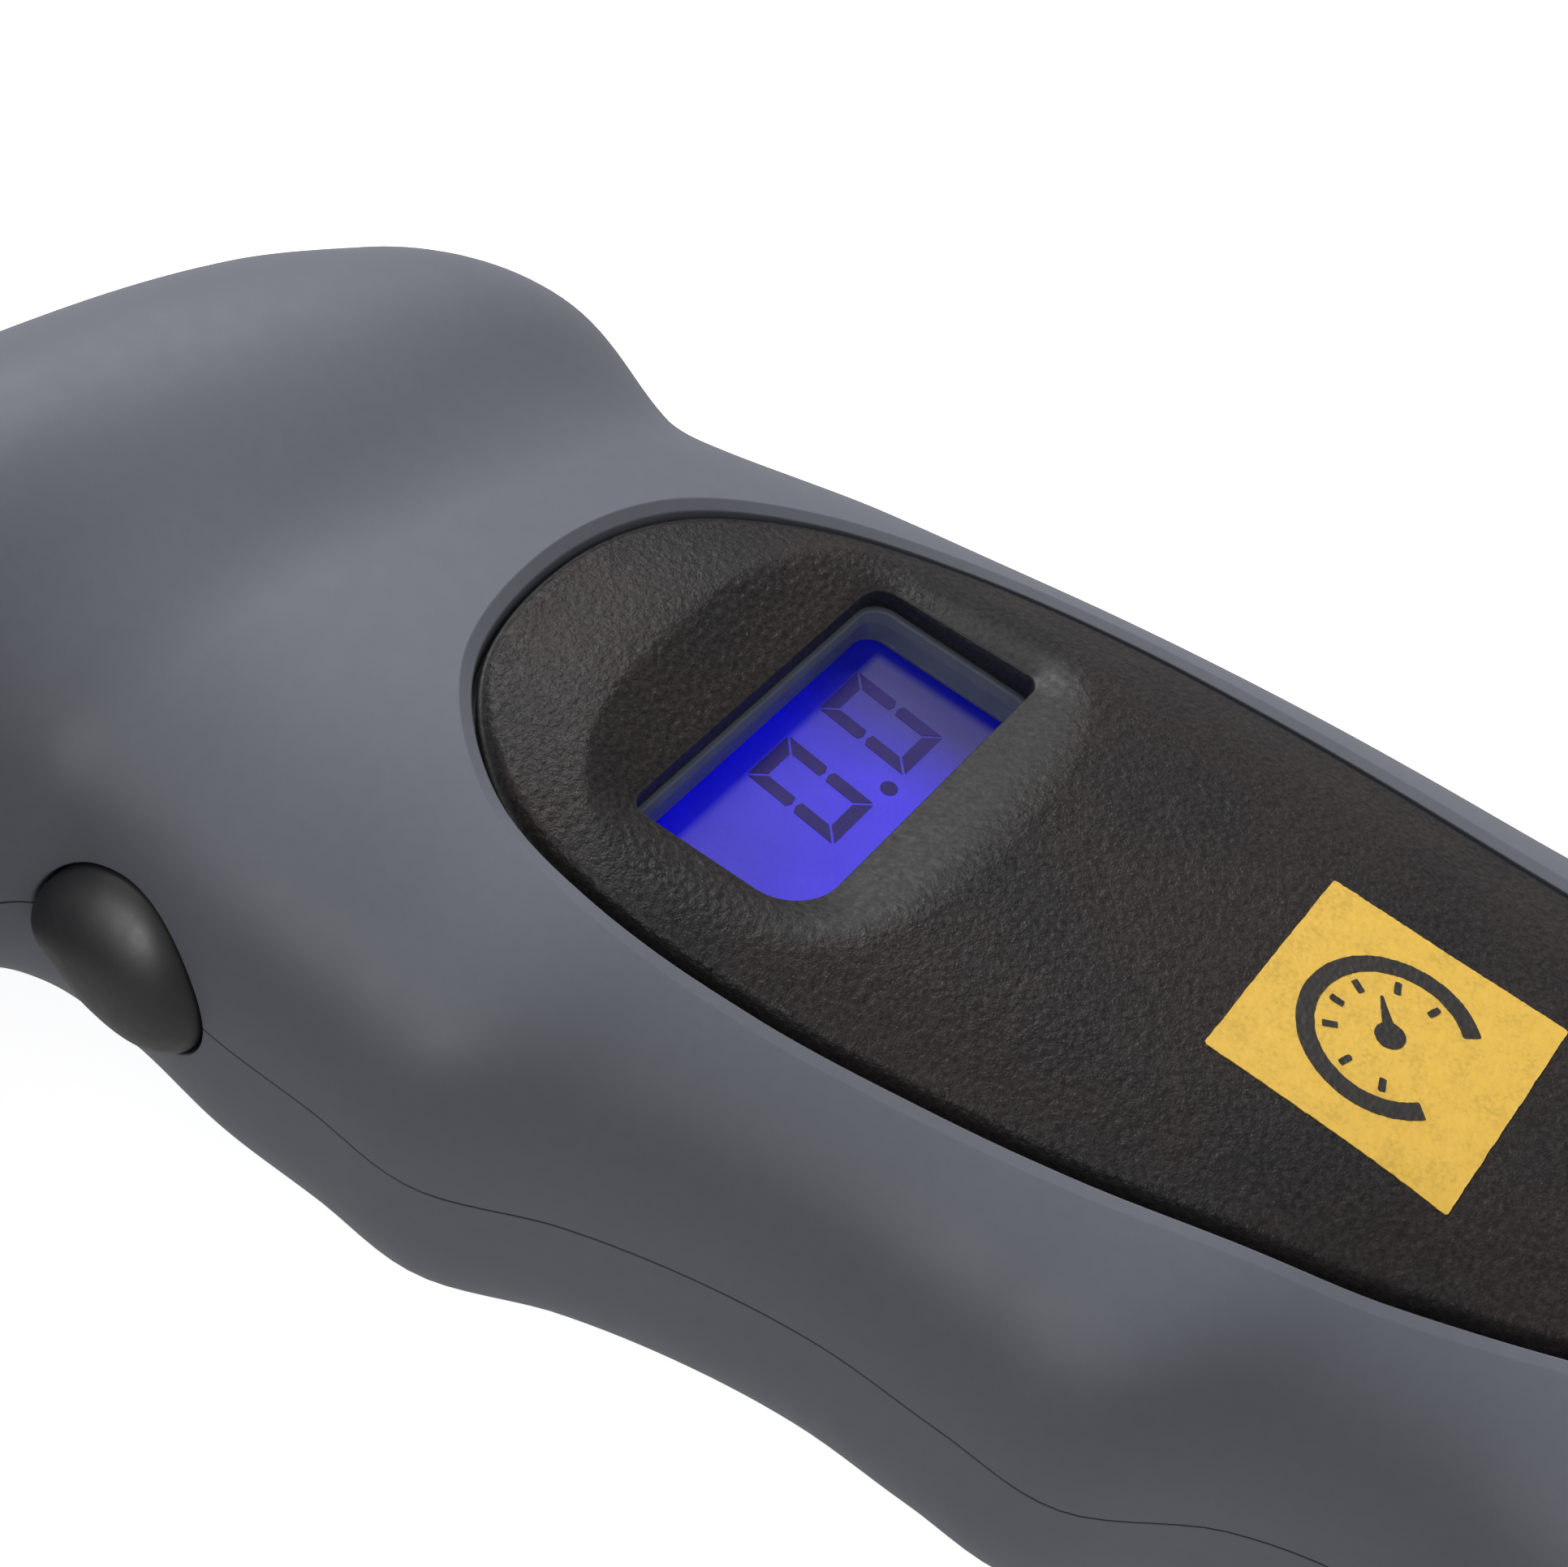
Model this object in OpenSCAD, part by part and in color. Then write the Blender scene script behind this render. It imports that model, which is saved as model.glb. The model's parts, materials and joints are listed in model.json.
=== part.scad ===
// Digital tyre pressure gauge: a hook-shaped two-piece housing with a textured
// face plate, a recessed backlit display, a side button at the inner corner, a
// valve chuck in the arm and a battery compartment in the grip.
//
// Working frame used by the modules: X runs along the grip towards its butt,
// the face looks along +Z, and the arm with the valve chuck points along -Y.
// [0,0,0] is the middle of the square badge, on the face. placed() moves every
// piece to the part's own origin, under the middle of the whole gauge.

/* [Housing] */
// Height of the face above the parting plane
face_h = 11; // [10.8:0.1:11.2]
// Depth of the back below the parting plane
back_h = 12; // [11.8:0.1:12.2]
// Wall thickness of both shells
wall = 2.2; // [2.0:0.1:2.4]
// Softness of the valley between the head barrel and the grip
valley_k = 4.8; // [4.4:0.2:5.2]

/* [Face plate] */
// Thickness of the face plate at its rim
plate_t = 1.5; // [1.4:0.1:1.6]
// Gap between the face plate and its pocket in the front shell
plate_gap = 0.2; // [0.15:0.05:0.25]
// Length of the display opening along the reading direction
open_l = 17; // [16:0.5:17.5]
// Height of the display opening across the reading direction
open_w = 8.4; // [8:0.2:8.6]
// Side of the square badge
badge = 10.5; // [10:0.5:11]

/* [Button] */
// Radius of the side button's round head
button_r = 4.6; // [4.4:0.1:4.7]
// Gap between the side button and its hole
button_gap = 0.2; // [0.15:0.05:0.25]
// Travel of the side button
button_travel = 0.5; // [0.4:0.05:0.6]

/* [Valve chuck] */
// Radius of the socket that fits over a tyre valve
socket_r = 4.2; // [4.1:0.05:4.3]
// Depth of the socket down to its rubber seal
socket_l = 9; // [8.5:0.5:9.5]

/* [Battery] */
// Diameter of one button cell
cell_d = 11.6; // [11.5:0.1:11.6]
// Height of one button cell
cell_h = 5.4; // [5.2:0.1:5.4]

/* [Hidden] */

// part origin, in the working frame: the middle of the whole, on its back
ORG = [2.2, -16.4, -face_h - back_h];
ZP = -face_h;          // parting plane
ZB = -face_h - back_h; // flat of the back

// grip: right edge every 10.5 mm from x = -42
R_TAB = [11.8, 14.9, 17.1, 18.6, 19.4, 19.6, 19.5, 18.7, 17.5, 15.9, 14.3, 13.2];
// grip: left edge every 5.25 mm from x = -42, with its finger hollows
L_TAB = [-23.9, -24.4, -24.3, -24.2, -21.7, -20, -19, -18.8, -18.4, -14.9, -13.2,
  -13.2, -14, -14.8, -14.6, -13.4, -12.6, -13.2, -14, -13.8, -13.2, -12.6, -12.2];
// grip: face height every 10.5 mm, as a share of face_h
T_TAB = [1, 1, 1, 1, 1, 1, 0.99, 0.97, 0.955, 0.935, 0.92, 0.91];
// head barrel, every 10.5 mm from y = 10.5 towards the chuck
XB_TAB = [-50.1, -53.7, -56.3, -58.2, -57.6, -56.5, -56];
WB_TAB = [7.6, 10.3, 10.7, 10.4, 10.1, 9.2, 8.6];
TB_TAB = [12, 13.1, 13.2, 12.4, 11.2, 10, 9];
BB_TAB = [10.5, 11.5, 11.5, 11, 10, 9.3, 8.8];
// face plate outline, corner points of a smooth closed curve
OUT_TAB = [[-37.8, -3.2], [-36.5, -9.7], [-32, -13.9], [-26, -15.3], [-19, -14.8],
  [-12, -13.6], [-5, -12.2], [2, -10.2], [9, -7.6], [16, -4.9], [23, -2.6], [30, -0.6],
  [37, 1.4], [43, 4], [37, 6.6], [30, 8.9], [23, 10.7], [16, 11.9], [9, 12.7],
  [2, 13.1], [-5, 13.1], [-12, 12.8], [-19, 12.1], [-26, 10.4], [-32, 7.2],
  [-36.3, 2.8]];

arm_end = -50;         // end face of the arm
butt_x1 = 57;  butt_xe = 73;   // rounding of the butt
root_x2 = -47.5; root_xs = -59; // rounding of the grip inside the head
head_y1 = 4.9; head_ye = 13.9;  // rounding of the head's free end
n_top = 2.9; n_bot = 3.8; n_bar = 2.15;
piv = [-35, -35];      // corner that the bend's sections turn about

dcx = -24; dcy = -2.05; // middle of the display
bcx = -41.9; bcz = -10.8; // middle of the side button
ncx = -56.6; ncz = -10.7; // axis of the valve chuck
mouth_y = -51.5;
pcb_z = -9.5; pcb_t = 1.6;
cell_y = 2.2; cell_z = ZB + 1.9 + cell_d/2;
shell_screw_at = [[60, 1.3], [-58, 0], [17, -8.2], [14, 14.2]];
pcb_screw_at = [[-38, 4], [-9, -11], [5, 4]];

function at(v, i) = v[max(0, min(len(v) - 1, i))];
// smooth curve through evenly spaced values
function cr4(a, b, c, e, w) =
  b + 0.5*w*((c - a) + w*((2*a - 5*b + 4*c - e) + w*(3*(b - c) + e - a)));
function cr(x, x0, h, v) =
  let (u = max(0, min(len(v) - 1.000001, (x - x0)/h)), i = floor(u))
    cr4(at(v, i - 1), at(v, i), at(v, i + 1), at(v, i + 2), u - i);
function smin(a, b, k) =
  let (h = max(0, min(1, 0.5 + 0.5*(b - a)/k))) b*(1 - h) + a*h - k*h*(1 - h);

function edge_r(x) = cr(x, -42, 10.5, R_TAB);
function edge_l(x) = cr(x, -42, 5.25, L_TAB);
function top_h(x) = face_h*cr(x, -42, 10.5, T_TAB);
function mid_y(x) = (edge_r(x) + edge_l(x))/2;
function half_w(x) = (edge_r(x) - edge_l(x))/2;

// signed measure of the grip, inset by w: negative inside
function f_grip(p, w) =
  let (x = p[0], a = half_w(x) - w, dy = p[1] - mid_y(x), dz = p[2] - ZP,
    b = (dz > 0 ? top_h(x) : back_h + 0.8) - w, n = dz > 0 ? n_top : n_bot,
    xe = butt_xe - w, xs = root_xs + w,
    ux = x > butt_x1 ? (x - butt_x1)/(xe - butt_x1)
      : x < root_x2 ? (root_x2 - x)/(root_x2 - xs) : 0,
    dx = x > butt_x1 ? x - butt_x1 : x < root_x2 ? root_x2 - x : 0,
    q = pow(pow(abs(dy)/a, n) + pow(abs(dz)/b, n), 2/n) + ux*ux,
    m = max(0.05, sqrt(q)), rho = sqrt(dy*dy + dz*dz + dx*dx))
  rho - rho/m;
// signed measure of the head barrel and arm
function f_barrel(p, w) =
  let (s = -p[1], dx = p[0] - cr(s, -10.5, 10.5, XB_TAB),
    a = cr(s, -10.5, 10.5, WB_TAB) - w, dz = p[2] - ZP,
    b = cr(s, -10.5, 10.5, dz > 0 ? TB_TAB : BB_TAB) - w,
    ye = head_ye - w, uy = max(0, (p[1] - head_y1)/(ye - head_y1)),
    dy = max(0, p[1] - head_y1),
    q = pow(pow(abs(dx)/a, n_bar) + pow(abs(dz)/b, n_bar), 2/n_bar) + uy*uy,
    m = max(0.05, sqrt(q)), rho = sqrt(dx*dx + dz*dz + dy*dy))
  rho - rho/m;
function f_body(p, w) = smin(f_grip(p, w), f_barrel(p, w), valley_k);
// first way out of the body from o along d
function out(o, d, w, lo = 0, hi = 34, n = 14) =
  let (m = (lo + hi)/2) n == 0 ? m
    : f_body(o + m*d, w) < 0 ? out(o, d, w, m, hi, n - 1) : out(o, d, w, lo, m, n - 1);

// sections of the body: [centre, sideways direction, tilt in degrees]
function grip_station(x) = [[x, mid_y(x), ZP], [0, 1, 0], 0];
function arm_station(y) = [[cr(-y, -10.5, 10.5, XB_TAB), y, ZP], [-1, 0, 0], 0];
function bend_station(t) =
  let (r0 = mid_y(piv[0]) - piv[1], r1 = piv[0] - cr(-piv[1], -10.5, 10.5, XB_TAB),
    r = r0 + (r1 - r0)*t/90, u = [-sin(t), cos(t), 0])
  [[piv[0] + r*u[0], piv[1] + r*u[1], ZP], u, 0];
// the bend's sections, closer together round the head's free end
BEND = [0, 2.5, 5, 8, 11, 14, 17, 20, 23, 26, 29, 32, 36, 41, 46, 52, 58, 64, 70, 76, 83, 90];
function stations(w) = concat(
  [for (a = [76, 60, 44, 29, 14]) [[butt_x1, mid_y(butt_x1), ZP], [0, 1, 0], a]],
  [for (i = [0:18]) grip_station(butt_x1 - i*(butt_x1 - piv[0])/19)],
  [for (t = BEND) bend_station(t)],
  [for (y = [-38.5, -42.5, -46.5, arm_end + w]) arm_station(y)]);
side_n = 32; // points round each section
function ring(s, w) = [for (j = [0:side_n - 1])
  let (f = j*360/side_n, d = cos(s[2])*(cos(f)*s[1] + [0, 0, sin(f)]) + [sin(s[2]), 0, 0])
    s[0] + out(s[0], d, w)*d];
// the body's outer form, inset by w, as one closed solid
module body_form(w) {
  st = stations(w);
  n = len(st); k = side_n;
  butt = [butt_xe - w, mid_y(butt_x1), ZP];
  pts = concat([for (s = st) each ring(s, w)], [butt, st[n - 1][0]]);
  polyhedron(points = pts, convexity = 6, faces = concat(
    [for (j = [0:k - 1]) [n*k, (j + 1)%k, j]],
    [for (i = [0:n - 2], j = [0:k - 1]) each
      let (a = i*k + j, b = i*k + (j + 1)%k, c = a + k, e = b + k) [[a, b, c], [b, e, c]]],
    [for (j = [0:k - 1]) [n*k + 1, (n - 1)*k + j, (n - 1)*k + (j + 1)%k]]));
}

// height of the face over a plan point
function face_z(x, y) =
  let (t = min(0.995, abs(y - mid_y(x))/half_w(x))) ZP + top_h(x)*pow(1 - pow(t, n_top), 1/n_top);
out_n = 104; // points round the face plate
function out_pt(i) =
  let (m = len(OUT_TAB), u = i*m/out_n, j = floor(u), w = u - j)
    [for (c = [0, 1]) cr4(OUT_TAB[(j + m - 1)%m][c], OUT_TAB[j%m][c],
      OUT_TAB[(j + 1)%m][c], OUT_TAB[(j + 2)%m][c], w)];
OUT = [for (i = [0:out_n - 1]) out_pt(i)];
function unit2(v) = v/norm(v);
// outline moved outwards by e, square to a line down its middle
function nearest_mid(p) = let (a = [-26, -2], b = [33, 4], t = max(0, min(1, ((p - a)*(b - a))/((b - a)*(b - a)))))
  a + t*(b - a);
function out_off(e) = [for (p = OUT) p + e*unit2(p - nearest_mid(p))];
// rounded oblong round the display, in the direction of each outline point
function round_at(hx, hy, n) = [for (p = OUT)
  let (d = unit2(p - [dcx, dcy]), r = pow(pow(abs(d[0])/hx, n) + pow(abs(d[1])/hy, n), -1/n))
    [dcx + r*d[0], dcy + r*d[1]]];
function lift(l, dz) = [for (p = l) [p[0], p[1], face_z(p[0], p[1]) + dz]];
function level(l, z) = [for (p = l) [p[0], p[1], z]];
function mixl(a, b, t) = [for (i = [0:len(a) - 1]) a[i]*(1 - t) + b[i]*t];
dish_hx = 8.2; dish_hy = 11.6;
// how deep the dish is sunk at the display opening: deeper on the head side
function dish_rim(l) = [for (p = l) [p[0], p[1], -1.25 + 0.045*(p[0] - dcx)]];
// closed band from a list of rings
module band(list, close, flip = false) {
  k = len(list[0]); n = len(list);
  rings = flip ? [for (i = [n - 1:-1:0]) list[i]] : list;
  polyhedron(points = [for (r = rings) each r], convexity = 6, faces = concat(
    [for (i = [0:(close ? n - 1 : n - 2)], j = [0:k - 1]) each
      let (a = i*k + j, b = i*k + (j + 1)%k, c = ((i + 1)%n)*k + j, e = ((i + 1)%n)*k + (j + 1)%k)
        [[a, c, b], [b, c, e]]],
    close ? [] : [[for (j = [0:k - 1]) j], [for (j = [k - 1:-1:0]) (n - 1)*k + j]]));
}
// swept round wire along hand-set points, softened between them
function way(p, u) = let (i = floor(u), w = u - i)
  [for (c = [0:2]) cr4(at(p, i - 1)[c], at(p, i)[c], at(p, i + 1)[c], at(p, i + 2)[c], w)];
module wire(p, r, per = 5, sides = 8) {
  n = (len(p) - 1)*per;
  c = [for (i = [0:n]) way(p, min(i/per, len(p) - 1.0001))];
  rings = [for (i = [0:n])
    let (t = c[min(n, i + 1)] - c[max(0, i - 1)], d = t/norm(t),
      s0 = cross(d, abs(d[2]) < 0.8 ? [0, 0, 1] : [1, 0, 0]), s = s0/norm(s0), v = cross(d, s))
      [for (j = [0:sides - 1]) c[i] + r*(cos(j*360/sides)*s + sin(j*360/sides)*v)]];
  band(rings, false);
}

module placed() { translate(-ORG) children(); }
module along_chuck() { translate([ncx, mouth_y, ncz]) rotate([-90, 0, 0]) children(); }
module above(z) { translate([-100, -100, z]) cube([220, 200, 60]); }
module below(z) { translate([-100, -100, z - 60]) cube([220, 200, 60]); }
module button_hole(r) { translate([bcx, -19, bcz]) rotate([90, 0, 0]) cylinder(r = r, h = 12, $fn = 48); }
module chuck_ribs() {
  difference() {
    for (y = [-42.3, -30]) translate([-75, y, ZB]) cube([32, 1.5, 30]);
    translate([ncx, -60, ncz]) rotate([-90, 0, 0]) cylinder(r = 6.4, h = 40, $fn = 48);
  }
}

// ---- housing ----
module front_shell() placed() color([0.30, 0.31, 0.34]) minkowski() {
  difference() {
    intersection() { body_form(0); above(ZP); }
    difference() {
      body_form(wall);
      for (s = shell_screw_at) translate([s[0], s[1], ZP - 1]) cylinder(r = 2.8, h = 20, $fn = 32);
      chuck_ribs();
    }
    // pocket for the face plate, and the opening behind it
    band([level(out_off(plate_gap), 8), lift(out_off(plate_gap), -plate_t - 0.05),
      lift(out_off(-1.6), -plate_t - 0.05), level(out_off(-1.6), -9)], false, true);
    button_hole(button_r + button_gap);
    translate([ncx, -45.6, ncz]) rotate([90, 0, 0]) cylinder(r = 7.15, h = 7, $fn = 48);
    for (s = shell_screw_at) translate([s[0], s[1], ZP - 1]) cylinder(r = 1.25, h = 8, $fn = 24);
  }
}

door_x0 = 24.5; door_x1 = 47.5; door_w = 15.4;
module rear_shell() placed() color([0.29, 0.30, 0.33]) minkowski() {
  difference() {
    intersection() { body_form(0); below(ZP); above(ZB); }
    difference() {
      intersection() { body_form(wall); above(ZB + wall); }
      for (s = shell_screw_at) translate([s[0], s[1], ZB]) cylinder(r = 3.4, h = 30, $fn = 32);
      for (s = pcb_screw_at) translate([s[0], s[1], ZB]) cylinder(r = 2.4, h = pcb_z - pcb_t - ZB, $fn = 32);
      chuck_ribs();
      // battery compartment walls
      difference() {
        translate([26, cell_y - 7.6, ZB]) cube([21.4, 15.2, 11.5]);
        translate([27.2, cell_y - 6.3, ZB - 1]) cube([19, 12.6, 20]);
        translate([20, cell_y - 8, ZB]) cube([9, 16, 4.7]);
      }
    }
    // battery opening and the door's seat
    translate([24.3, cell_y - 6.3, ZB - 1]) cube([21.9, 12.6, 6]);
    translate([door_x0 - 0.2, cell_y - door_w/2 - 0.25, ZB - 1]) cube([door_x1 - door_x0 + 0.45, door_w + 0.5, 2.65]);
    button_hole(button_r + button_gap);
    translate([ncx, -45.6, ncz]) rotate([90, 0, 0]) cylinder(r = 7.15, h = 7, $fn = 48);
    for (s = shell_screw_at) translate([s[0], s[1], ZB - 1]) {
      cylinder(r = 1.45, h = 20, $fn = 24);
      cylinder(r = 2.7, h = 6.5, $fn = 32);
    }
    for (s = pcb_screw_at) translate([s[0], s[1], ZB + wall + 1]) cylinder(r = 0.8, h = 20, $fn = 24);
  }
}

module shell_screws() placed() color([0.72, 0.72, 0.74])
  for (s = shell_screw_at) translate([s[0], s[1], ZB]) difference() {
    union() {
      translate([0, 0, 3.5]) cylinder(r = 2.4, h = 1.9, $fn = 32);
      translate([0, 0, 5.4]) cylinder(r = 1.2, h = 11, $fn = 32);
    }
    for (a = [0, 90]) rotate([0, 0, a]) translate([-1.5, -0.3, 3]) cube([3, 0.6, 1.5]);
  }

// ---- face ----
module face_plate() placed() color([0.13, 0.125, 0.125]) minkowski() {
  difference() {
    band([
      level(round_at(open_w/2, open_l/2, 9), -3),
      dish_rim(round_at(open_w/2, open_l/2, 9)),
      dish_rim(mixl(round_at(open_w/2, open_l/2, 9), round_at(dish_hx, dish_hy, 2.6), 0.25)),
      lift(mixl(round_at(open_w/2, open_l/2, 9), round_at(dish_hx, dish_hy, 2.6), 0.8), -0.35),
      lift(round_at(dish_hx, dish_hy, 2.6), -0.05),
      lift(mixl(round_at(dish_hx, dish_hy, 2.6), out_off(-0.5), 0.5), 0),
      lift(out_off(-0.5), 0),
      lift(OUT, -0.35),
      lift(OUT, -plate_t),
      lift(out_off(-2.6), -plate_t),
      level(mixl(round_at(open_w/2, open_l/2, 9), out_off(-2.6), 0.45), -3)
    ], true, true);
    translate([-badge/2 - 0.05, -badge/2 - 0.05, -0.25]) cube([badge + 0.1, badge + 0.1, 3]);
  }
}
module display_window() placed() color([0.8, 0.85, 0.9, 0.35])
  translate([dcx - 4.9, dcy - 9.1, -3.95]) cube([9.8, 18.2, 0.9]);
module badge_plate() placed() color([0.91, 0.73, 0.32])
  translate([-badge/2, -badge/2, -0.25]) cube([badge, badge, 0.35]);
// a plain dial mark: ring, ticks and a pointer
module badge_symbol() placed() color([0.08, 0.08, 0.08]) translate([0, 0, 0.1]) {
  difference() {
    cylinder(r = 3.7, h = 0.08, $fn = 64);
    translate([0, 0, -1]) cylinder(r = 2.95, h = 3, $fn = 64);
    translate([0, 0, -1]) linear_extrude(3) polygon([[0, 0], [6, -2.6], [6, 2.6]]);
  }
  for (a = [60, 120, 180, 240, 300]) rotate([0, 0, a]) translate([1.9, -0.22, 0]) cube([0.75, 0.44, 0.08]);
  cylinder(r = 0.75, h = 0.08, $fn = 32);
  rotate([0, 0, 215]) linear_extrude(0.08) polygon([[0.9, -0.3], [2.6, 0], [0.9, 0.3]]);
}

// ---- display ----
module display_frame() placed() color([0.85, 0.86, 0.86]) difference() {
  translate([dcx - 7.35, dcy - 11.6, pcb_z]) cube([14.7, 23.2, 4.8]);
  translate([dcx - 6.3, dcy - 10.55, pcb_z - 1]) cube([12.6, 21.1, 8]);
}
module display_glass() placed() color([0.30, 0.30, 0.85, 0.9])
  translate([dcx - 6.25, dcy - 10.5, -6.4]) cube([12.5, 21, 2.1]);
seg_w = 0.62; dig_h = 4.15; dig_w = 2.3; // stroke middle to stroke middle
module seg(l) linear_extrude(0.05) polygon([[-l/2, 0], [-l/2 + seg_w/2, seg_w/2], [l/2 - seg_w/2, seg_w/2],
  [l/2, 0], [l/2 - seg_w/2, -seg_w/2], [-l/2 + seg_w/2, -seg_w/2]]);
module digit() {
  for (x = [-dig_h/2, dig_h/2]) translate([x, 0, 0]) rotate([0, 0, 90]) seg(dig_w - 0.75);
  for (x = [-dig_h/4, dig_h/4], y = [-dig_w/2, dig_w/2]) translate([x, y, 0]) seg(dig_h/2 - 0.3);
}
module display_segments() placed() color([0.10, 0.12, 0.35]) translate([0, 0, -4.3]) {
  translate([dcx - 0.53, dcy - 0.75, 0]) digit();
  translate([dcx - 0.53, dcy + 4.36, 0]) digit();
  translate([dcx + 1.8, dcy + 1.84, 0]) cylinder(r = 0.42, h = 0.05, $fn = 24);
}
module display_connector() placed() color([0.75, 0.35, 0.45])
  translate([dcx + 4.4, dcy - 9.5, pcb_z]) cube([1.7, 19, 3.1]);
module backlight_guide() placed() color([0.85, 0.88, 0.95])
  translate([dcx - 6.2, dcy - 9.2, pcb_z]) cube([10.4, 18.4, 3]);
module backlight_leds() placed() color([0.9, 0.9, 0.6])
  for (x = [-4, 1]) translate([dcx + x, dcy + 9.25, pcb_z]) cube([2, 1.1, 1.2]);

// ---- board ----
module main_board() placed() color([0.08, 0.38, 0.18]) difference() {
  translate([0, 0, pcb_z - pcb_t]) linear_extrude(pcb_t)
    polygon([[-46.5, -17], [-6, -15.5], [11, -9.5], [11, 10], [-30, 10], [-46.5, 7.6]]);
  translate([bcx - 3.15, -20, pcb_z - 3]) cube([6.3, 7.8, 6]);
  for (s = pcb_screw_at) translate([s[0], s[1], -20]) cylinder(r = 1.1, h = 20, $fn = 32);
}
module board_screws() placed() color([0.72, 0.72, 0.74])
  for (s = pcb_screw_at) translate([s[0], s[1], 0]) {
    translate([0, 0, pcb_z]) cylinder(r = 1.7, h = 1.1, $fn = 32);
    translate([0, 0, pcb_z - 6]) cylinder(r = 0.75, h = 6, $fn = 32);
  }
module controller_chip() placed() color([0.06, 0.06, 0.06])
  translate([dcx - 5, dcy - 5, pcb_z - pcb_t - 1.6]) cube([10, 10, 1.6]);
module board_passives() placed() color([0.75, 0.68, 0.5])
  for (p = [[-8, 4], [-8, 7], [-3, -8], [0, -8], [0, 7.5], [-34, -9], [-34, -5.5]])
    translate([p[0], p[1], pcb_z - pcb_t - 0.8]) cube([2, 1.25, 0.8]);

// ---- button ----
module side_button() placed() color([0.12, 0.12, 0.125]) {
  translate([bcx, 0, bcz]) rotate([90, 0, 0]) rotate_extrude($fn = 64)
    polygon(concat([[0, 20.5]], [[button_r, 20.5], [button_r, 23.2]],
      [for (a = [7.5:7.5:90]) [button_r*cos(a), 23.2 + 2.8*sin(a)]]));
  translate([bcx - 5.8, -21.4, bcz - 2.8]) cube([11.6, 1, 5.6]);
  translate([bcx, -20.5, bcz]) rotate([-90, 0, 0]) cylinder(r = 2, h = 2.95, $fn = 32);
}
sw_y = -15.9; // front face of the switch
module button_switch() placed() color([0.16, 0.16, 0.17]) translate([bcx, sw_y, bcz]) difference() {
  translate([-3, 0, -3]) cube([6, 3.6, 6]);
  translate([0, -1, 0]) rotate([-90, 0, 0]) cylinder(r = 1.8, h = 2.6, $fn = 32);
}
module switch_plunger() placed() color([0.75, 0.2, 0.15])
  translate([bcx, -17.5, bcz]) rotate([-90, 0, 0]) cylinder(r = 1.7, h = 2.5, $fn = 32);

// ---- valve chuck ----
module chuck_collar() placed() color([0.10, 0.10, 0.105]) along_chuck() rotate_extrude($fn = 72)
  polygon([[5.3, -0.9], [7.3, -0.9], [8, -0.3], [8, 1.5], [7, 1.5], [7, 5.6], [6.4, 5.6], [6.4, -0.05], [5.3, -0.05]]);
seat = socket_l;
module chuck_body() placed() color([0.75, 0.62, 0.33]) along_chuck() rotate_extrude($fn = 72)
  polygon([[socket_r, 0], [6.3, 0], [6.3, 7.4], [6.7, 7.4], [6.7, 9.1], [6.3, 9.1], [6.3, 31], [5.2, 31], [5.2, 24],
    [1.2, 24], [1.2, 14.1], [2.6, 14.1], [2.6, seat + 2.6], [5, seat + 2.6], [5, seat], [socket_r, seat]]);
module chuck_seal() placed() color([0.12, 0.12, 0.12]) along_chuck() translate([0, 0, seat + 0.15])
  difference() { cylinder(r = 4.95, h = 2.4, $fn = 64); translate([0, 0, -1]) cylinder(r = 2.4, h = 5, $fn = 64); }
module valve_pin() placed() color([0.80, 0.66, 0.36]) along_chuck() difference() {
  union() {
    translate([0, 0, seat + 0.15]) cylinder(r = 0.9, h = 3.4, $fn = 32);
    translate([0, 0, 12.4]) cylinder(r = 2.55, h = 1.65, $fn = 48);
  }
  for (a = [0, 120, 240]) rotate([0, 0, a]) translate([1.7, 0, 10]) cylinder(r = 0.45, h = 6, $fn = 24);
}
module sensor_seal() placed() color([0.1, 0.1, 0.1]) along_chuck() translate([0, 0, 25])
  rotate_extrude($fn = 48) translate([3.7, 0]) circle(r = 0.9, $fn = 24);
module pressure_sensor() placed() color([0.78, 0.79, 0.80]) along_chuck() {
  difference() {
    translate([0, 0, 25.9]) cylinder(r = 5.1, h = 3, $fn = 64);
    translate([0, 0, 25]) cylinder(r = 2, h = 2, $fn = 48);
  }
  for (a = [45:90:315]) rotate([0, 0, a]) translate([1.8, 0, 28.8]) cylinder(r = 0.25, h = 3.4, $fn = 24);
}
module sensor_retainer() placed() color([0.2, 0.2, 0.21]) along_chuck() difference() {
  translate([0, 0, 28.95]) cylinder(r = 5.15, h = 1.9, $fn = 64);
  translate([0, 0, 28]) cylinder(r = 3.2, h = 4, $fn = 64);
}
module sensor_wires() placed() color([0.85, 0.85, 0.80])
  for (i = [0:3]) let (px = ncx + (i < 2 ? 1.27 : -1.27), pz = ncz + (i == 0 || i == 3 ? 1.27 : -1.27))
    wire([[px, -19.25, pz], [px, -17, pz], [-54 - 1.3*i, -14 + 1.2*i, (pz - 8.4)/2 + 0.2],
      [-49, -12 + 1.9*i, -8.4], [-45.4, -12 + 1.9*i, -8.2], [-44.6, -12 + 1.9*i, -9.4]], 0.3, 4);

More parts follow.
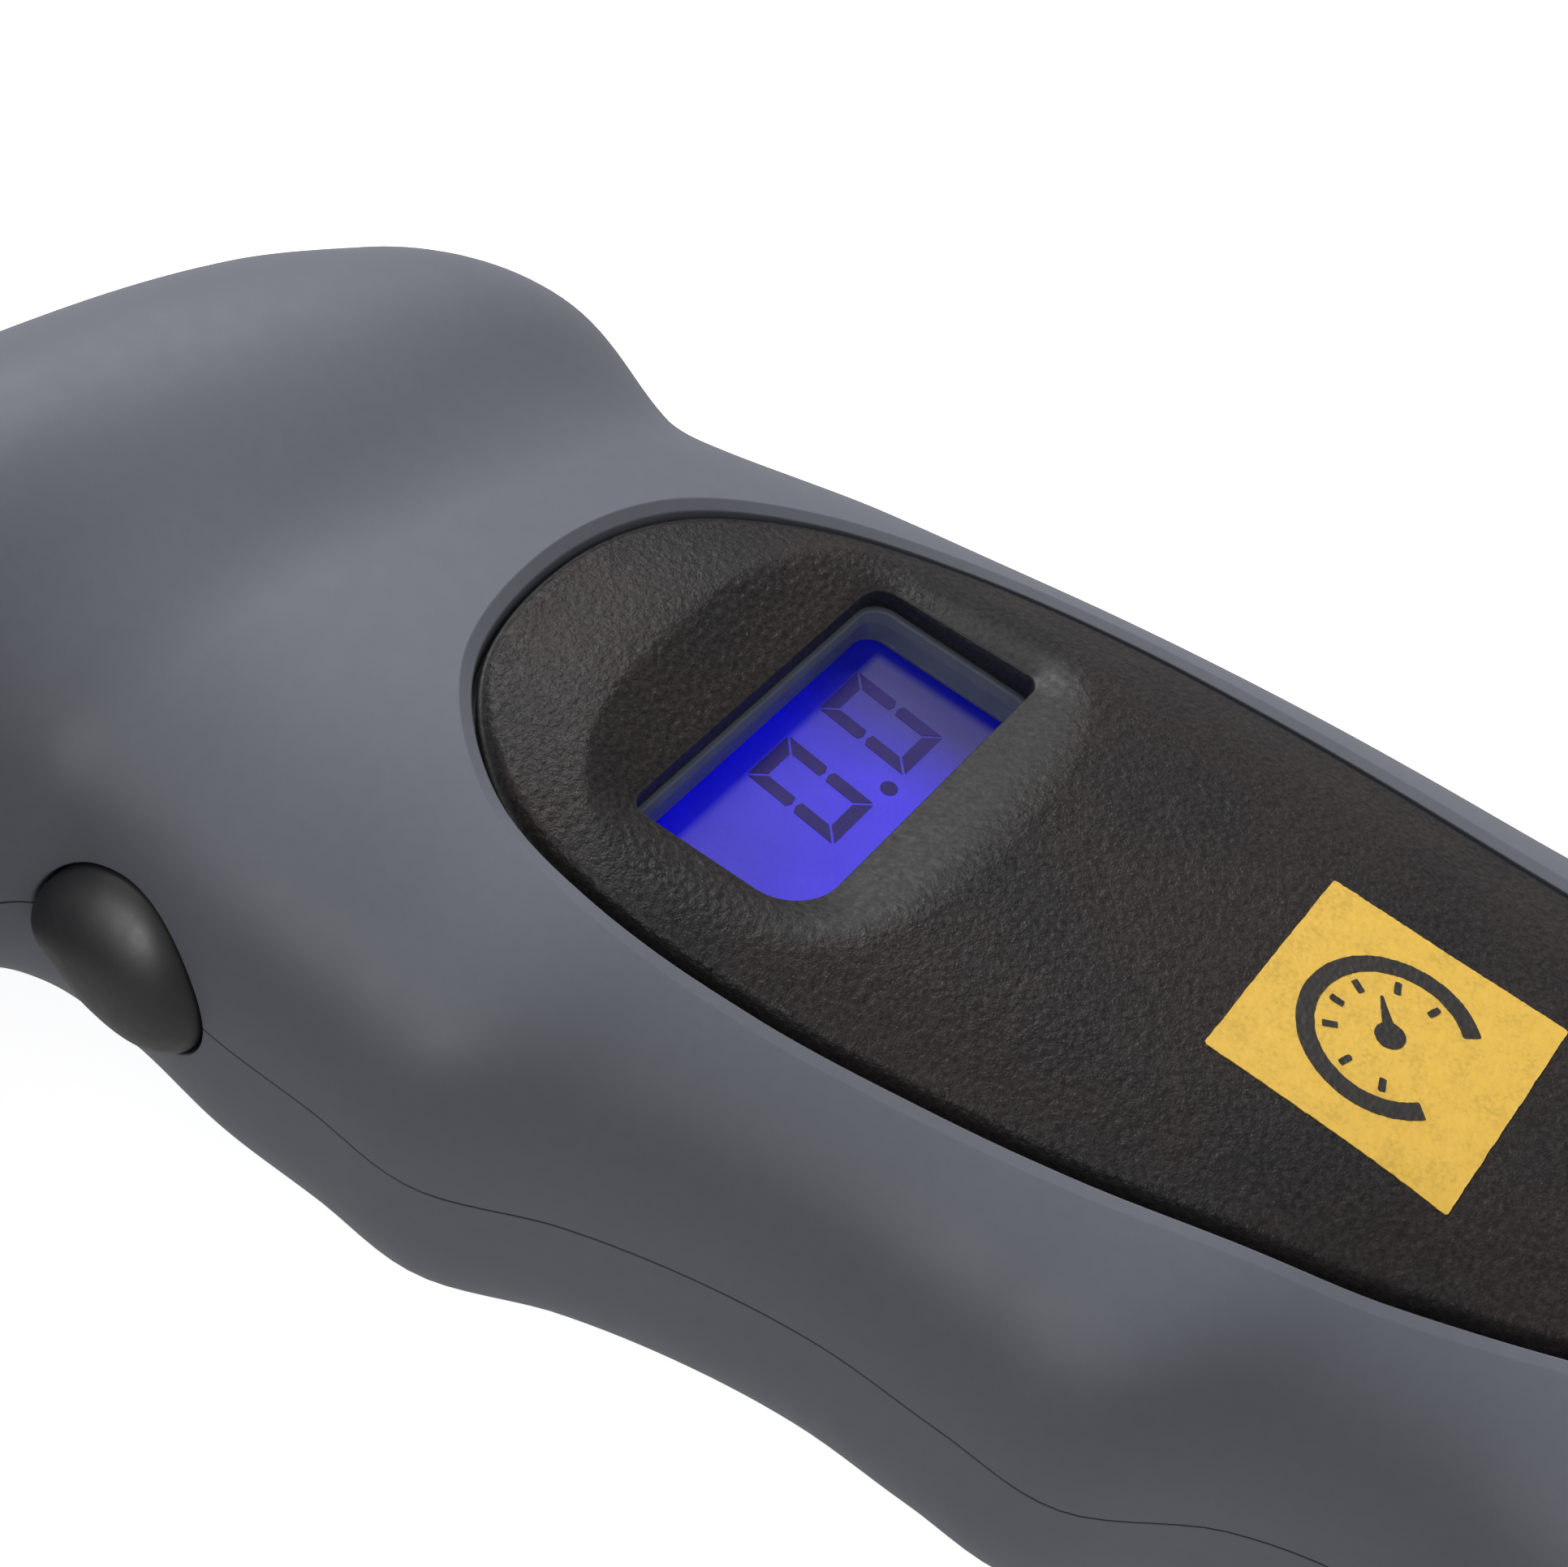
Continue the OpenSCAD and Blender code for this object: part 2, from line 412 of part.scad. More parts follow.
// ---- power ----
module button_cells() placed() color([0.80, 0.80, 0.82])
  for (i = [0:2]) translate([28.7 + i*cell_h, cell_y, cell_z]) rotate([0, 90, 0]) rotate_extrude($fn = 64)
    polygon([[0, 0], [3.9, 0], [4.1, 0.5], [cell_d/2 - 0.5, 0.5], [cell_d/2, 1], [cell_d/2, cell_h - 0.25], [cell_d/2 - 0.25, cell_h - 0.02], [0, cell_h - 0.02]]);
module battery_spring() placed() color([0.75, 0.75, 0.76]) translate([27.35, cell_y, cell_z]) rotate([0, 90, 0]) {
  wire([for (i = [0:24]) [(4.4 - i*0.06)*cos(i*45), (4.4 - i*0.06)*sin(i*45), 0.25 + i*0.034]], 0.2, 2, 6);
}
module battery_plate() placed() color([0.75, 0.75, 0.76]) {
  translate([45.55, cell_y - 5.5, cell_z - 5.4]) cube([0.4, 11, 11.5]);
  translate([45.0, cell_y - 1.5, cell_z - 1.5]) cube([0.6, 3, 3]);
}
module lead_red() placed() color([0.8, 0.08, 0.08])
  wire([[45.75, cell_y + 4, -8.9], [45.6, cell_y + 4.2, -8.2], [43, 7.6, -7.4], [34, 9.4, -7], [24, 8.6, -7.2], [14, 6.5, -8], [9.6, 6, -8.4], [9, 6, -9.45]], 0.5, 4);
module lead_black() placed() color([0.05, 0.05, 0.05])
  wire([[26.6, cell_y - 5, -11.2], [26.5, cell_y - 5, -10], [25, -3.6, -9], [19, -2.4, -8], [13, -1.8, -8], [9.6, -1.6, -8.4], [9, -1.6, -9.45]], 0.5, 4);
// its -X edge is round: the door turns about it
module battery_door() placed() color([0.27, 0.28, 0.31]) {
  difference() {
    union() {
      translate([door_x0 + 0.75, cell_y - door_w/2, ZB]) cube([door_x1 - door_x0 - 0.75, door_w, 1.5]);
      translate([door_x0 + 0.75, cell_y + door_w/2, ZB + 0.75]) rotate([90, 0, 0]) cylinder(r = 0.75, h = door_w, $fn = 32);
    }
    translate([door_x1 - 3.5, cell_y, ZB - 2.2]) cylinder(r = 3, h = 2.8, $fn = 48);
  }
  for (y = [-4, 4]) translate([0, cell_y + y - 1.25, 0]) {
    translate([door_x0 + 0.1, 0, ZB + 1.2]) cube([1, 2.5, 2.1]);
    translate([door_x0 - 1.8, 0, ZB + 2.45]) cube([2.4, 2.5, 0.85]);
  }
}

front_shell();
rear_shell();
face_plate();
display_window();
badge_plate();
badge_symbol();
side_button();
battery_door();
shell_screws();
main_board();
board_screws();
board_passives();
controller_chip();
display_glass();
display_segments();
display_frame();
display_connector();
backlight_guide();
backlight_leds();
button_switch();
switch_plunger();
chuck_collar();
chuck_body();
chuck_seal();
valve_pin();
pressure_sensor();
sensor_seal();
sensor_retainer();
sensor_wires();
button_cells();
battery_spring();
battery_plate();
lead_red();
lead_black();
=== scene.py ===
import json
import math

import bpy
import numpy as np
from mathutils import Matrix, Vector, kdtree
from mathutils.geometry import delaunay_2d_cdt


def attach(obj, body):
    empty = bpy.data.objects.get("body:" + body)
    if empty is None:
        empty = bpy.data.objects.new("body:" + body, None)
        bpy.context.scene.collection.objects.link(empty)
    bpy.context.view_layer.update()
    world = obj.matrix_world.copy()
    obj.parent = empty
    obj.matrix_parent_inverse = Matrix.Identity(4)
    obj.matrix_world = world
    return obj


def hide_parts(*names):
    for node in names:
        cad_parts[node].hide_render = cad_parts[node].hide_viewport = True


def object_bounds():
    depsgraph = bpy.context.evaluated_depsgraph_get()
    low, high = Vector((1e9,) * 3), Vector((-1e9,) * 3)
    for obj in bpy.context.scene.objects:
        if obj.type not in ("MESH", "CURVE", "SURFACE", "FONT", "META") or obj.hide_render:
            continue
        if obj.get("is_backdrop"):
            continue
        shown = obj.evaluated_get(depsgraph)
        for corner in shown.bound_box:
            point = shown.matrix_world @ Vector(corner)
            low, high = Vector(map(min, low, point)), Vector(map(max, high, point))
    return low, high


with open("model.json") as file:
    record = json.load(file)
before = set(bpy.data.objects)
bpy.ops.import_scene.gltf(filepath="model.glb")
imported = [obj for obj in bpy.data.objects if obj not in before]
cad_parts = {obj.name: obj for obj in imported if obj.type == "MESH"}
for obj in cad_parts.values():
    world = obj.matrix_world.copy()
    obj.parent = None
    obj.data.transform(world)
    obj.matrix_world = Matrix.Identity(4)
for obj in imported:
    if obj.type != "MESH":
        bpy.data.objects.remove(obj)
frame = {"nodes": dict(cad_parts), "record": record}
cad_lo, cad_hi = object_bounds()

NODES = frame["nodes"]
ORG = np.array([2.2, -16.4, -23.0])   # part origin in the working frame, mm
ZP, ZB = -11.0, -23.0

# ------------------------------------------------------------------ the body's form
R_TAB = [11.8, 14.9, 17.1, 18.6, 19.4, 19.6, 19.5, 18.7, 17.5, 15.9, 14.3, 13.2]
L_TAB = [-23.9, -24.4, -24.3, -24.2, -21.7, -20, -19, -18.8, -18.4, -14.9, -13.2,
         -13.2, -14, -14.8, -14.6, -13.4, -12.6, -13.2, -14, -13.8, -13.2, -12.6, -12.2]
T_TAB = [1, 1, 1, 1, 1, 1, 0.99, 0.97, 0.955, 0.935, 0.92, 0.91]
XB_TAB = [-50.1, -53.7, -56.3, -58.2, -57.6, -56.5, -56]
WB_TAB = [7.6, 10.3, 10.7, 10.4, 10.1, 9.2, 8.6]
TB_TAB = [12, 13.1, 13.2, 12.4, 11.2, 10, 9]
BB_TAB = [10.5, 11.5, 11.5, 11, 10, 9.3, 8.8]
OUT_TAB = np.array([[-37.8, -3.2], [-36.5, -9.7], [-32, -13.9], [-26, -15.3], [-19, -14.8],
    [-12, -13.6], [-5, -12.2], [2, -10.2], [9, -7.6], [16, -4.9], [23, -2.6], [30, -0.6],
    [37, 1.4], [43, 4], [37, 6.6], [30, 8.9], [23, 10.7], [16, 11.9], [9, 12.7],
    [2, 13.1], [-5, 13.1], [-12, 12.8], [-19, 12.1], [-26, 10.4], [-32, 7.2], [-36.3, 2.8]])
PIV = (-35.0, -35.0)
DCX, DCY = -24.0, -2.05
BCX, BCZ = -41.6, -11.2
NCX, NCZ = -56.6, -10.7


def cr(x, x0, h, v):
    v = np.asarray(v, float)
    n = len(v)
    u = np.clip((x - x0) / h, 0, n - 1 - 1e-9)
    i = np.floor(u).astype(int)
    w = u - i
    a, b, c, e = (v[np.clip(i + k, 0, n - 1)] for k in (-1, 0, 1, 2))
    return b + 0.5 * w * ((c - a) + w * ((2 * a - 5 * b + 4 * c - e) + w * (3 * (b - c) + e - a)))


def smin(a, b, k):
    h = np.clip(0.5 + 0.5 * (b - a) / k, 0, 1)
    return b * (1 - h) + a * h - k * h * (1 - h)


def smax(a, b, k):
    return -smin(-a, -b, k)


def edge_r(x): return cr(x, -42, 10.5, R_TAB)
def edge_l(x): return cr(x, -42, 5.25, L_TAB)
def mid_y(x): return (edge_r(x) + edge_l(x)) / 2
def half_w(x): return (edge_r(x) - edge_l(x)) / 2
def top_h(x): return 11 * cr(x, -42, 10.5, T_TAB)


def f_grip(P, w):
    x, dy, dz = P[..., 0], P[..., 1] - mid_y(P[..., 0]), P[..., 2] - ZP
    up = dz > 0
    a, b = half_w(x) - w, np.where(up, top_h(x), 12.8) - w
    n = np.where(up, 2.9, 3.8)
    xe, xs = 73 - w, -59 + w
    ux = np.where(x > 57, (x - 57) / (xe - 57), np.where(x < -47.5, (-47.5 - x) / (-47.5 - xs), 0))
    dx = np.where(x > 57, x - 57, np.where(x < -47.5, -47.5 - x, 0))
    q = ((np.abs(dy) / a) ** n + (np.abs(dz) / b) ** n) ** (2 / n) + ux * ux
    rho = np.sqrt(dy * dy + dz * dz + dx * dx)
    return rho - rho / np.maximum(0.05, np.sqrt(q))


def f_barrel(P, w):
    s = -P[..., 1]
    dx, dz = P[..., 0] - cr(s, -10.5, 10.5, XB_TAB), P[..., 2] - ZP
    a = cr(s, -10.5, 10.5, WB_TAB) - w
    b = np.where(dz > 0, cr(s, -10.5, 10.5, TB_TAB), cr(s, -10.5, 10.5, BB_TAB)) - w
    ye = 13.9 - w
    uy = np.maximum(0, (P[..., 1] - 4.9) / (ye - 4.9))
    dy = np.maximum(0, P[..., 1] - 4.9)
    q = ((np.abs(dx) / a) ** 2.15 + (np.abs(dz) / b) ** 2.15) ** (2 / 2.15) + uy * uy
    rho = np.sqrt(dx * dx + dz * dz + dy * dy)
    return rho - rho / np.maximum(0.05, np.sqrt(q))


def f_body(P, w=0.0):
    f = smin(f_grip(P, w), f_barrel(P, w), 4.8)
    return smax(f, ZB + w - P[..., 2], 1.8 if w == 0 else 0.2)


def grad(P, w=0.0, h=0.004):
    g = np.stack([f_body(P + h * e, w) - f_body(P - h * e, w) for e in np.eye(3)], -1)
    return g / np.maximum(1e-12, np.linalg.norm(g, axis=-1, keepdims=True))


def unit(v):
    return v / np.maximum(1e-12, np.linalg.norm(v, axis=-1, keepdims=True))


def cast(O, D, w=0.0, hi=34.0, n=26):
    lo, hi = np.zeros(O.shape[:-1]), np.full(O.shape[:-1], hi)
    for _ in range(n):
        m = (lo + hi) / 2
        inside = f_body(O + m[..., None] * D, w) < 0
        lo, hi = np.where(inside, m, lo), np.where(inside, hi, m)
    return O + ((lo + hi) / 2)[..., None] * D


def stations(step, dang, w=0.0):
    """Centre, sideways direction and tilt of each section, from the butt to the arm's end."""
    rows = []
    n = max(6, int(20 / step))
    for i in range(n):
        t = math.radians(89.0 * (1 - i / n) ** 0.9)
        rows.append(([57, float(mid_y(np.float64(57))), ZP], [0, 1, 0], t))
    for x in np.linspace(57, PIV[0], int(92 / step)):
        rows.append(([x, float(mid_y(x)), ZP], [0, 1, 0], 0.0))
    r0 = float(mid_y(np.float64(PIV[0]))) - PIV[1]
    r1 = PIV[0] - float(cr(np.float64(35.0), -10.5, 10.5, XB_TAB))
    angs = list(np.arange(dang * 0.6, 36, dang * 0.6)) + list(np.arange(36, 90.01, dang))
    for a in angs:
        r = r0 + (r1 - r0) * a / 90
        u = [-math.sin(math.radians(a)), math.cos(math.radians(a)), 0]
        rows.append(([PIV[0] + r * u[0], PIV[1] + r * u[1], ZP], u, 0.0))
    for y in np.linspace(-35 - step, -50 + 0.4 + w * 0.0, max(3, int(15 / step))):
        rows.append(([float(cr(np.float64(-y), -10.5, 10.5, XB_TAB)), y, ZP], [-1, 0, 0], 0.0))
    return rows


# ------------------------------------------------------------------ mesh helpers
class Soup:
    """Vertices and triangles, gathered piece by piece."""

    def __init__(self):
        self.V, self.T, self.n = [], [], 0

    def add(self, V, T):
        V = np.asarray(V, float).reshape(-1, 3)
        self.V.append(V)
        self.T.append(np.asarray(T, int).reshape(-1, 3) + self.n)
        self.n += len(V)
        return self.n - len(V)

    def get(self):
        return np.vstack(self.V), np.vstack(self.T)


def grid_tris(n, m, closed=False):
    """Triangles of an n by m grid of points, the second index closed or not."""
    i, j = np.meshgrid(np.arange(n - 1), np.arange(m if closed else m - 1), indexing="ij")
    a, b = i * m + j, i * m + (j + 1) % m
    c, e = a + m, b + m
    return np.concatenate([np.stack([a, b, c], -1).reshape(-1, 3), np.stack([b, e, c], -1).reshape(-1, 3)])


def weld(V, T, tol=1e-5):
    key = np.round(V / tol).astype(np.int64)
    _, first, inv = np.unique(key, axis=0, return_index=True, return_inverse=True)
    inv = inv.ravel()
    T = inv[T]
    ok = (T[:, 0] != T[:, 1]) & (T[:, 1] != T[:, 2]) & (T[:, 0] != T[:, 2])
    return V[first], T[ok]


def clip(V, T, s):
    """Keeps the part with s > 0. Returns vertices, triangles and the directed edges of the cut."""
    s = np.where(np.abs(s) < 1e-7, 1e-7, s)
    pos = s[T] > 0
    k = pos.sum(1)
    keep = T[k == 3]
    out, cut = [keep], []
    edges = {}
    new = []

    def cross(p, q):
        key = (p, q) if p < q else (q, p)
        if key not in edges:
            t = s[key[0]] / (s[key[0]] - s[key[1]])
            edges[key] = len(V) + len(new)
            new.append(V[key[0]] + t * (V[key[1]] - V[key[0]]))
        return edges[key]

    more = []
    for tri, ps, kk in zip(T[(k == 1) | (k == 2)], pos[(k == 1) | (k == 2)], k[(k == 1) | (k == 2)]):
        if kk == 1:
            i = int(np.argmax(ps))
            a, b, c = tri[i], tri[(i + 1) % 3], tri[(i + 2) % 3]
            e1, e2 = cross(a, b), cross(a, c)
            more.append((a, e1, e2)); cut.append((e1, e2))
        else:
            i = int(np.argmin(ps))
            a, b, c = tri[i], tri[(i + 1) % 3], tri[(i + 2) % 3]
            e1, e2 = cross(a, b), cross(a, c)
            more += [(e1, b, c), (e1, c, e2)]; cut.append((e2, e1))
    if more:
        out.append(np.array(more))
    V2 = np.vstack([V, np.array(new).reshape(-1, 3)]) if new else V
    return V2, np.vstack(out), cut


def chains(cut):
    """Directed edges as ordered chains; a closed one ends where it starts."""
    nxt = dict(cut)
    starts = set(nxt) - set(nxt.values())
    res, left = [], dict(nxt)
    for st in sorted(starts):
        c = [st]
        while c[-1] in left:
            c.append(left.pop(c[-1]))
        res.append(c)
    while left:
        st = next(iter(left))
        c = [st]
        while c[-1] in left:
            c.append(left.pop(c[-1]))
        res.append(c)
    return sorted(res, key=len, reverse=True)


def boundary(T):
    e = np.concatenate([T[:, [0, 1]], T[:, [1, 2]], T[:, [2, 0]]])
    code = e[:, 0].astype(np.int64) * (T.max() + 1) + e[:, 1]
    back = e[:, 1].astype(np.int64) * (T.max() + 1) + e[:, 0]
    return e[~np.isin(code, back)]


def fill_plane(V, loops, ax, flip):
    """Triangles that fill closed loops of vertex numbers, seen in the plane of the two axes ax."""
    ids, edges, base = [], [], 0
    for lp in loops:
        lp = lp[:-1] if lp[0] == lp[-1] else lp
        ids += list(lp)
        edges += [(base + i, base + (i + 1) % len(lp)) for i in range(len(lp))]
        base += len(lp)
    pts = [Vector((float(V[i][ax[0]]), float(V[i][ax[1]]))) for i in ids]
    co, _, faces, orig, _, _ = delaunay_2d_cdt(pts, edges, [], 1, 1e-7)
    res = []
    for f in faces:
        t = [ids[orig[i][0]] for i in f if orig[i]]
        if len(t) == 3:
            res.append(t)
    res = np.array(res, int)
    a, b, c = V[res[:, 0]], V[res[:, 1]], V[res[:, 2]]
    area = (b[:, ax[0]] - a[:, ax[0]]) * (c[:, ax[1]] - a[:, ax[1]]) - (b[:, ax[1]] - a[:, ax[1]]) * (c[:, ax[0]] - a[:, ax[0]])
    bad = (area < 0) != flip
    res[bad] = res[bad][:, ::-1]
    return res


def obj_from(name, V, T):
    me = bpy.data.meshes.new(name)
    me.from_pydata([], [], [])
    me.vertices.add(len(V))
    me.vertices.foreach_set("co", np.asarray(V, np.float32).ravel())
    me.loops.add(len(T) * 3)
    me.loops.foreach_set("vertex_index", np.asarray(T, np.int32).ravel())
    me.polygons.add(len(T))
    me.polygons.foreach_set("loop_start", np.arange(0, len(T) * 3, 3, dtype=np.int32))
    me.update(calc_edges=True)
    me.validate()
    ob = bpy.data.objects.new(name, me)
    bpy.context.scene.collection.objects.link(ob)
    return ob


def arrays(me):
    V = np.zeros(len(me.vertices) * 3, np.float32)
    me.vertices.foreach_get("co", V)
    me.calc_loop_triangles()
    T = np.zeros(len(me.loop_triangles) * 3, np.int32)
    me.loop_triangles.foreach_get("vertices", T)
    return V.reshape(-1, 3).astype(float), T.reshape(-1, 3).astype(int)


def boolean(A, B, op):
    """One boolean of two closed meshes, each a pair of arrays."""
    a, b = obj_from("tmp_a", *A), obj_from("tmp_b", *B)
    m = a.modifiers.new("b", "BOOLEAN")
    m.solver, m.operation, m.object = "MANIFOLD", op, b
    dg = bpy.context.evaluated_depsgraph_get()
    dg.update()
    ev = a.evaluated_get(dg)
    me = bpy.data.meshes.new_from_object(ev)
    res = arrays(me)
    for o in (a, b):
        d = o.data
        bpy.data.objects.remove(o)
        bpy.data.meshes.remove(d)
    bpy.data.meshes.remove(me)
    if len(res[1]) == 0:
        raise RuntimeError(f"boolean {op} gave nothing")
    return res


def box_mesh(x0, x1, y0, y1, z0, z1):
    V = [[x, y, z] for x in (x0, x1) for y in (y0, y1) for z in (z0, z1)]
    Q = [(0, 1, 3, 2), (4, 6, 7, 5), (0, 4, 5, 1), (2, 3, 7, 6), (0, 2, 6, 4), (1, 5, 7, 3)]
    return np.array(V, float), np.array([t for q in Q for t in ((q[0], q[1], q[2]), (q[0], q[2], q[3]))])


def revolve(profile, axis, centre, n=96):
    """Closed solid of revolution. profile is (radius, height) from one end of the axis to the other, both on the axis."""
    prof = [(r, h) for r, h in profile]
    ang = np.arange(n) * 2 * np.pi / n
    V, ring = [], []
    u, v, w = {"y": ([1, 0, 0], [0, 0, 1], [0, -1, 0]), "z": ([1, 0, 0], [0, 1, 0], [0, 0, 1])}[axis]
    u, v, w = map(np.array, (u, v, w))
    for r, h in prof:
        if r < 1e-9:
            ring.append([len(V)]); V.append(h * w)
        else:
            ring.append(list(range(len(V), len(V) + n)))
            V += list(r * (np.cos(ang)[:, None] * u + np.sin(ang)[:, None] * v) + h * w)
    T = []
    for a, b in zip(ring, ring[1:]):
        for j in range(n):
            k = (j + 1) % n
            if len(a) == 1:
                T.append((a[0], b[k], b[j])) if len(b) > 1 else None
            elif len(b) == 1:
                T.append((a[j], a[k], b[0]))
            else:
                T += [(a[j], a[k], b[j]), (a[k], b[k], b[j])]
    V = np.array(V) + np.array(centre, float)
    T = np.array(T)
    vol = np.einsum("ij,ij->i", V[T[:, 0]], np.cross(V[T[:, 1]], V[T[:, 2]])).sum()
    return V, (T if vol > 0 else T[:, ::-1])


def orient(V, T):
    vol = np.einsum("ij,ij->i", V[T[:, 0]], np.cross(V[T[:, 1]], V[T[:, 2]])).sum()
    return (V, T) if vol > 0 else (V, T[:, ::-1])


def finish_mesh(name, V, T, known=None, surface=None, smooth_deg=None):
    """Object in metres in the part frame, with exact corner normals where they are known.
    known: (points, normals); surface: True to use the body's own gradient."""
    a, b, c = V[T[:, 0]], V[T[:, 1]], V[T[:, 2]]
    fn = np.cross(b - a, c - a)
    area = np.linalg.norm(fn, axis=1)
    fn = fn / np.maximum(area[:, None], 1e-15)
    best = np.repeat(fn[:, None, :], 3, 1)
    score = np.full((len(T), 3), 0.62)
    thin = area < 2e-4
    score[thin] = -2

    def offer(vi_mask, N):
        nonlocal best, score
        cand = N[T]
        d = np.einsum("ijk,ik->ij", cand, fn)
        d = np.where(thin[:, None], 0.0, d)
        use = vi_mask[T] & (d > score)
        best = np.where(use[..., None], cand, best)
        score = np.where(use, d, score)

    if smooth_deg is not None:
        w = np.zeros_like(V)
        lim = math.cos(math.radians(smooth_deg))
        # corner angles weigh the faces round each vertex; faces turned past the limit are left out
        ang = []
        for k in range(3):
            p, q, r = V[T[:, k]], V[T[:, (k + 1) % 3]], V[T[:, (k + 2) % 3]]
            ang.append(np.arccos(np.clip(np.einsum("ij,ij->i", unit(q - p), unit(r - p)), -1, 1)))
        order = np.argsort(T.ravel(), kind="stable")
        vert = T.ravel()[order]
        face = np.repeat(np.arange(len(T)), 3)[order]
        wt = np.stack(ang, 1).ravel()[order]
        start = np.searchsorted(vert, np.arange(len(V) + 1))
        flat = best.reshape(-1, 3)
        for v in range(len(V)):
            s, e = start[v], start[v + 1]
            if e - s < 2:
                continue
            F, W = fn[face[s:e]], wt[s:e]
            D = F @ F.T
            M = (D > lim) * W[None, :]
            N = M @ F
            flat[order[s:e]] = unit(N)
        best = flat.reshape(-1, 3, 3)
    if surface:
        near = np.abs(f_body(V)) < 0.01
        N = np.zeros_like(V)
        N[near] = grad(V[near])
        offer(near, N)
    if known is not None:
        tree = kdtree.KDTree(len(known[0]))
        for i, p in enumerate(known[0]):
            tree.insert(p, i)
        tree.balance()
        for rank in range(2):
            mask = np.zeros(len(V), bool)
            N = np.zeros_like(V)
            for i, p in enumerate(V):
                hits = tree.find_n(p, 2)
                hits = [h for h in hits if h[2] < 2e-4]
                if len(hits) > rank:
                    mask[i] = True
                    N[i] = known[1][hits[rank][1]]
            offer(mask, N)
    ob = obj_from(name, (V - ORG) / 1000.0, T)
    me = ob.data
    me.polygons.foreach_set("use_smooth", np.ones(len(me.polygons), bool))
    if len(me.polygons) == len(T):
        me.normals_split_custom_set(best.reshape(-1, 3).astype(np.float32).tolist())
    else:
        print("NOTE validate dropped faces on", name, len(T), len(me.polygons))
    return ob


# ------------------------------------------------------------------ face plate outline
def closed_curve(tab, n):
    m = len(tab)
    u = np.arange(n) * m / n
    j = np.floor(u).astype(int)
    w = (u - j)[:, None]
    a, b, c, e = (tab[(j + k) % m] for k in (-1, 0, 1, 2))
    return b + 0.5 * w * ((c - a) + w * ((2 * a - 5 * b + 4 * c - e) + w * (3 * (b - c) + e - a)))


OUT = closed_curve(OUT_TAB, 1560)


def nearest_mid(P):
    a, b = np.array([-26.0, -2.0]), np.array([33.0, 4.0])
    t = np.clip(((P - a) @ (b - a)) / ((b - a) @ (b - a)), 0, 1)
    return a + t[:, None] * (b - a)


def out_off(e, curve=None):
    P = OUT if curve is None else curve
    return P + e * unit(P - nearest_mid(P))


def poly_sd(P, poly):
    """Signed distance to a closed polygon, negative inside, and the way outwards."""
    P = np.asarray(P, float)
    A, B = poly, np.roll(poly, -1, 0)
    best = np.full(len(P), 1e9)
    near = np.zeros_like(P)
    inside = np.zeros(len(P), bool)
    for s in range(0, len(P), 4000):
        Q = P[s:s + 4000]
        d = B - A
        t = np.clip(np.einsum("ijk,jk->ij", Q[:, None] - A[None], d) / (d * d).sum(1), 0, 1)
        C = A[None] + t[..., None] * d[None]
        dist = np.linalg.norm(Q[:, None] - C, axis=2)
        k = dist.argmin(1)
        r = np.arange(len(Q))
        best[s:s + 4000] = dist[r, k]
        near[s:s + 4000] = C[r, k]
        y0, y1 = A[None, :, 1], B[None, :, 1]
        cr_ = (y0 > Q[:, None, 1]) != (y1 > Q[:, None, 1])
        xi = A[None, :, 0] + (Q[:, None, 1] - y0) * (B[None, :, 0] - A[None, :, 0]) / np.where(np.abs(y1 - y0) < 1e-12, 1e-12, y1 - y0)
        inside[s:s + 4000] = (cr_ & (Q[:, None, 0] < xi)).sum(1) % 2 == 1
    sd = np.where(inside, -best, best)
    g = P - near
    g = np.where(inside[:, None], -g, g)
    return sd, unit(g)


def face_z(x, y):
    t = np.minimum(0.995, np.abs(y - mid_y(x)) / half_w(x))
    return ZP + top_h(x) * (1 - t ** 2.9) ** (1 / 2.9)


def bezier_rows(P0, P1, P2, n):
    return [((1 - t) ** 2) * P0 + 2 * t * (1 - t) * P1 + t * t * P2 for t in np.linspace(0, 1, n)]


def slerp_rows(n0, n1, n):
    return [unit((1 - t) * n0 + t * n1) for t in np.linspace(0, 1, n)]


# ------------------------------------------------------------------ the two shells
EDGE = 0.10      # rounding of each shell's edge at the parting line
GAP = 0.22       # gap round the face plate
LIP = 0.55       # width of the bevel round the pocket
BLIP = 0.12      # rounding of the button hole's lip
BHOLE = 4.52


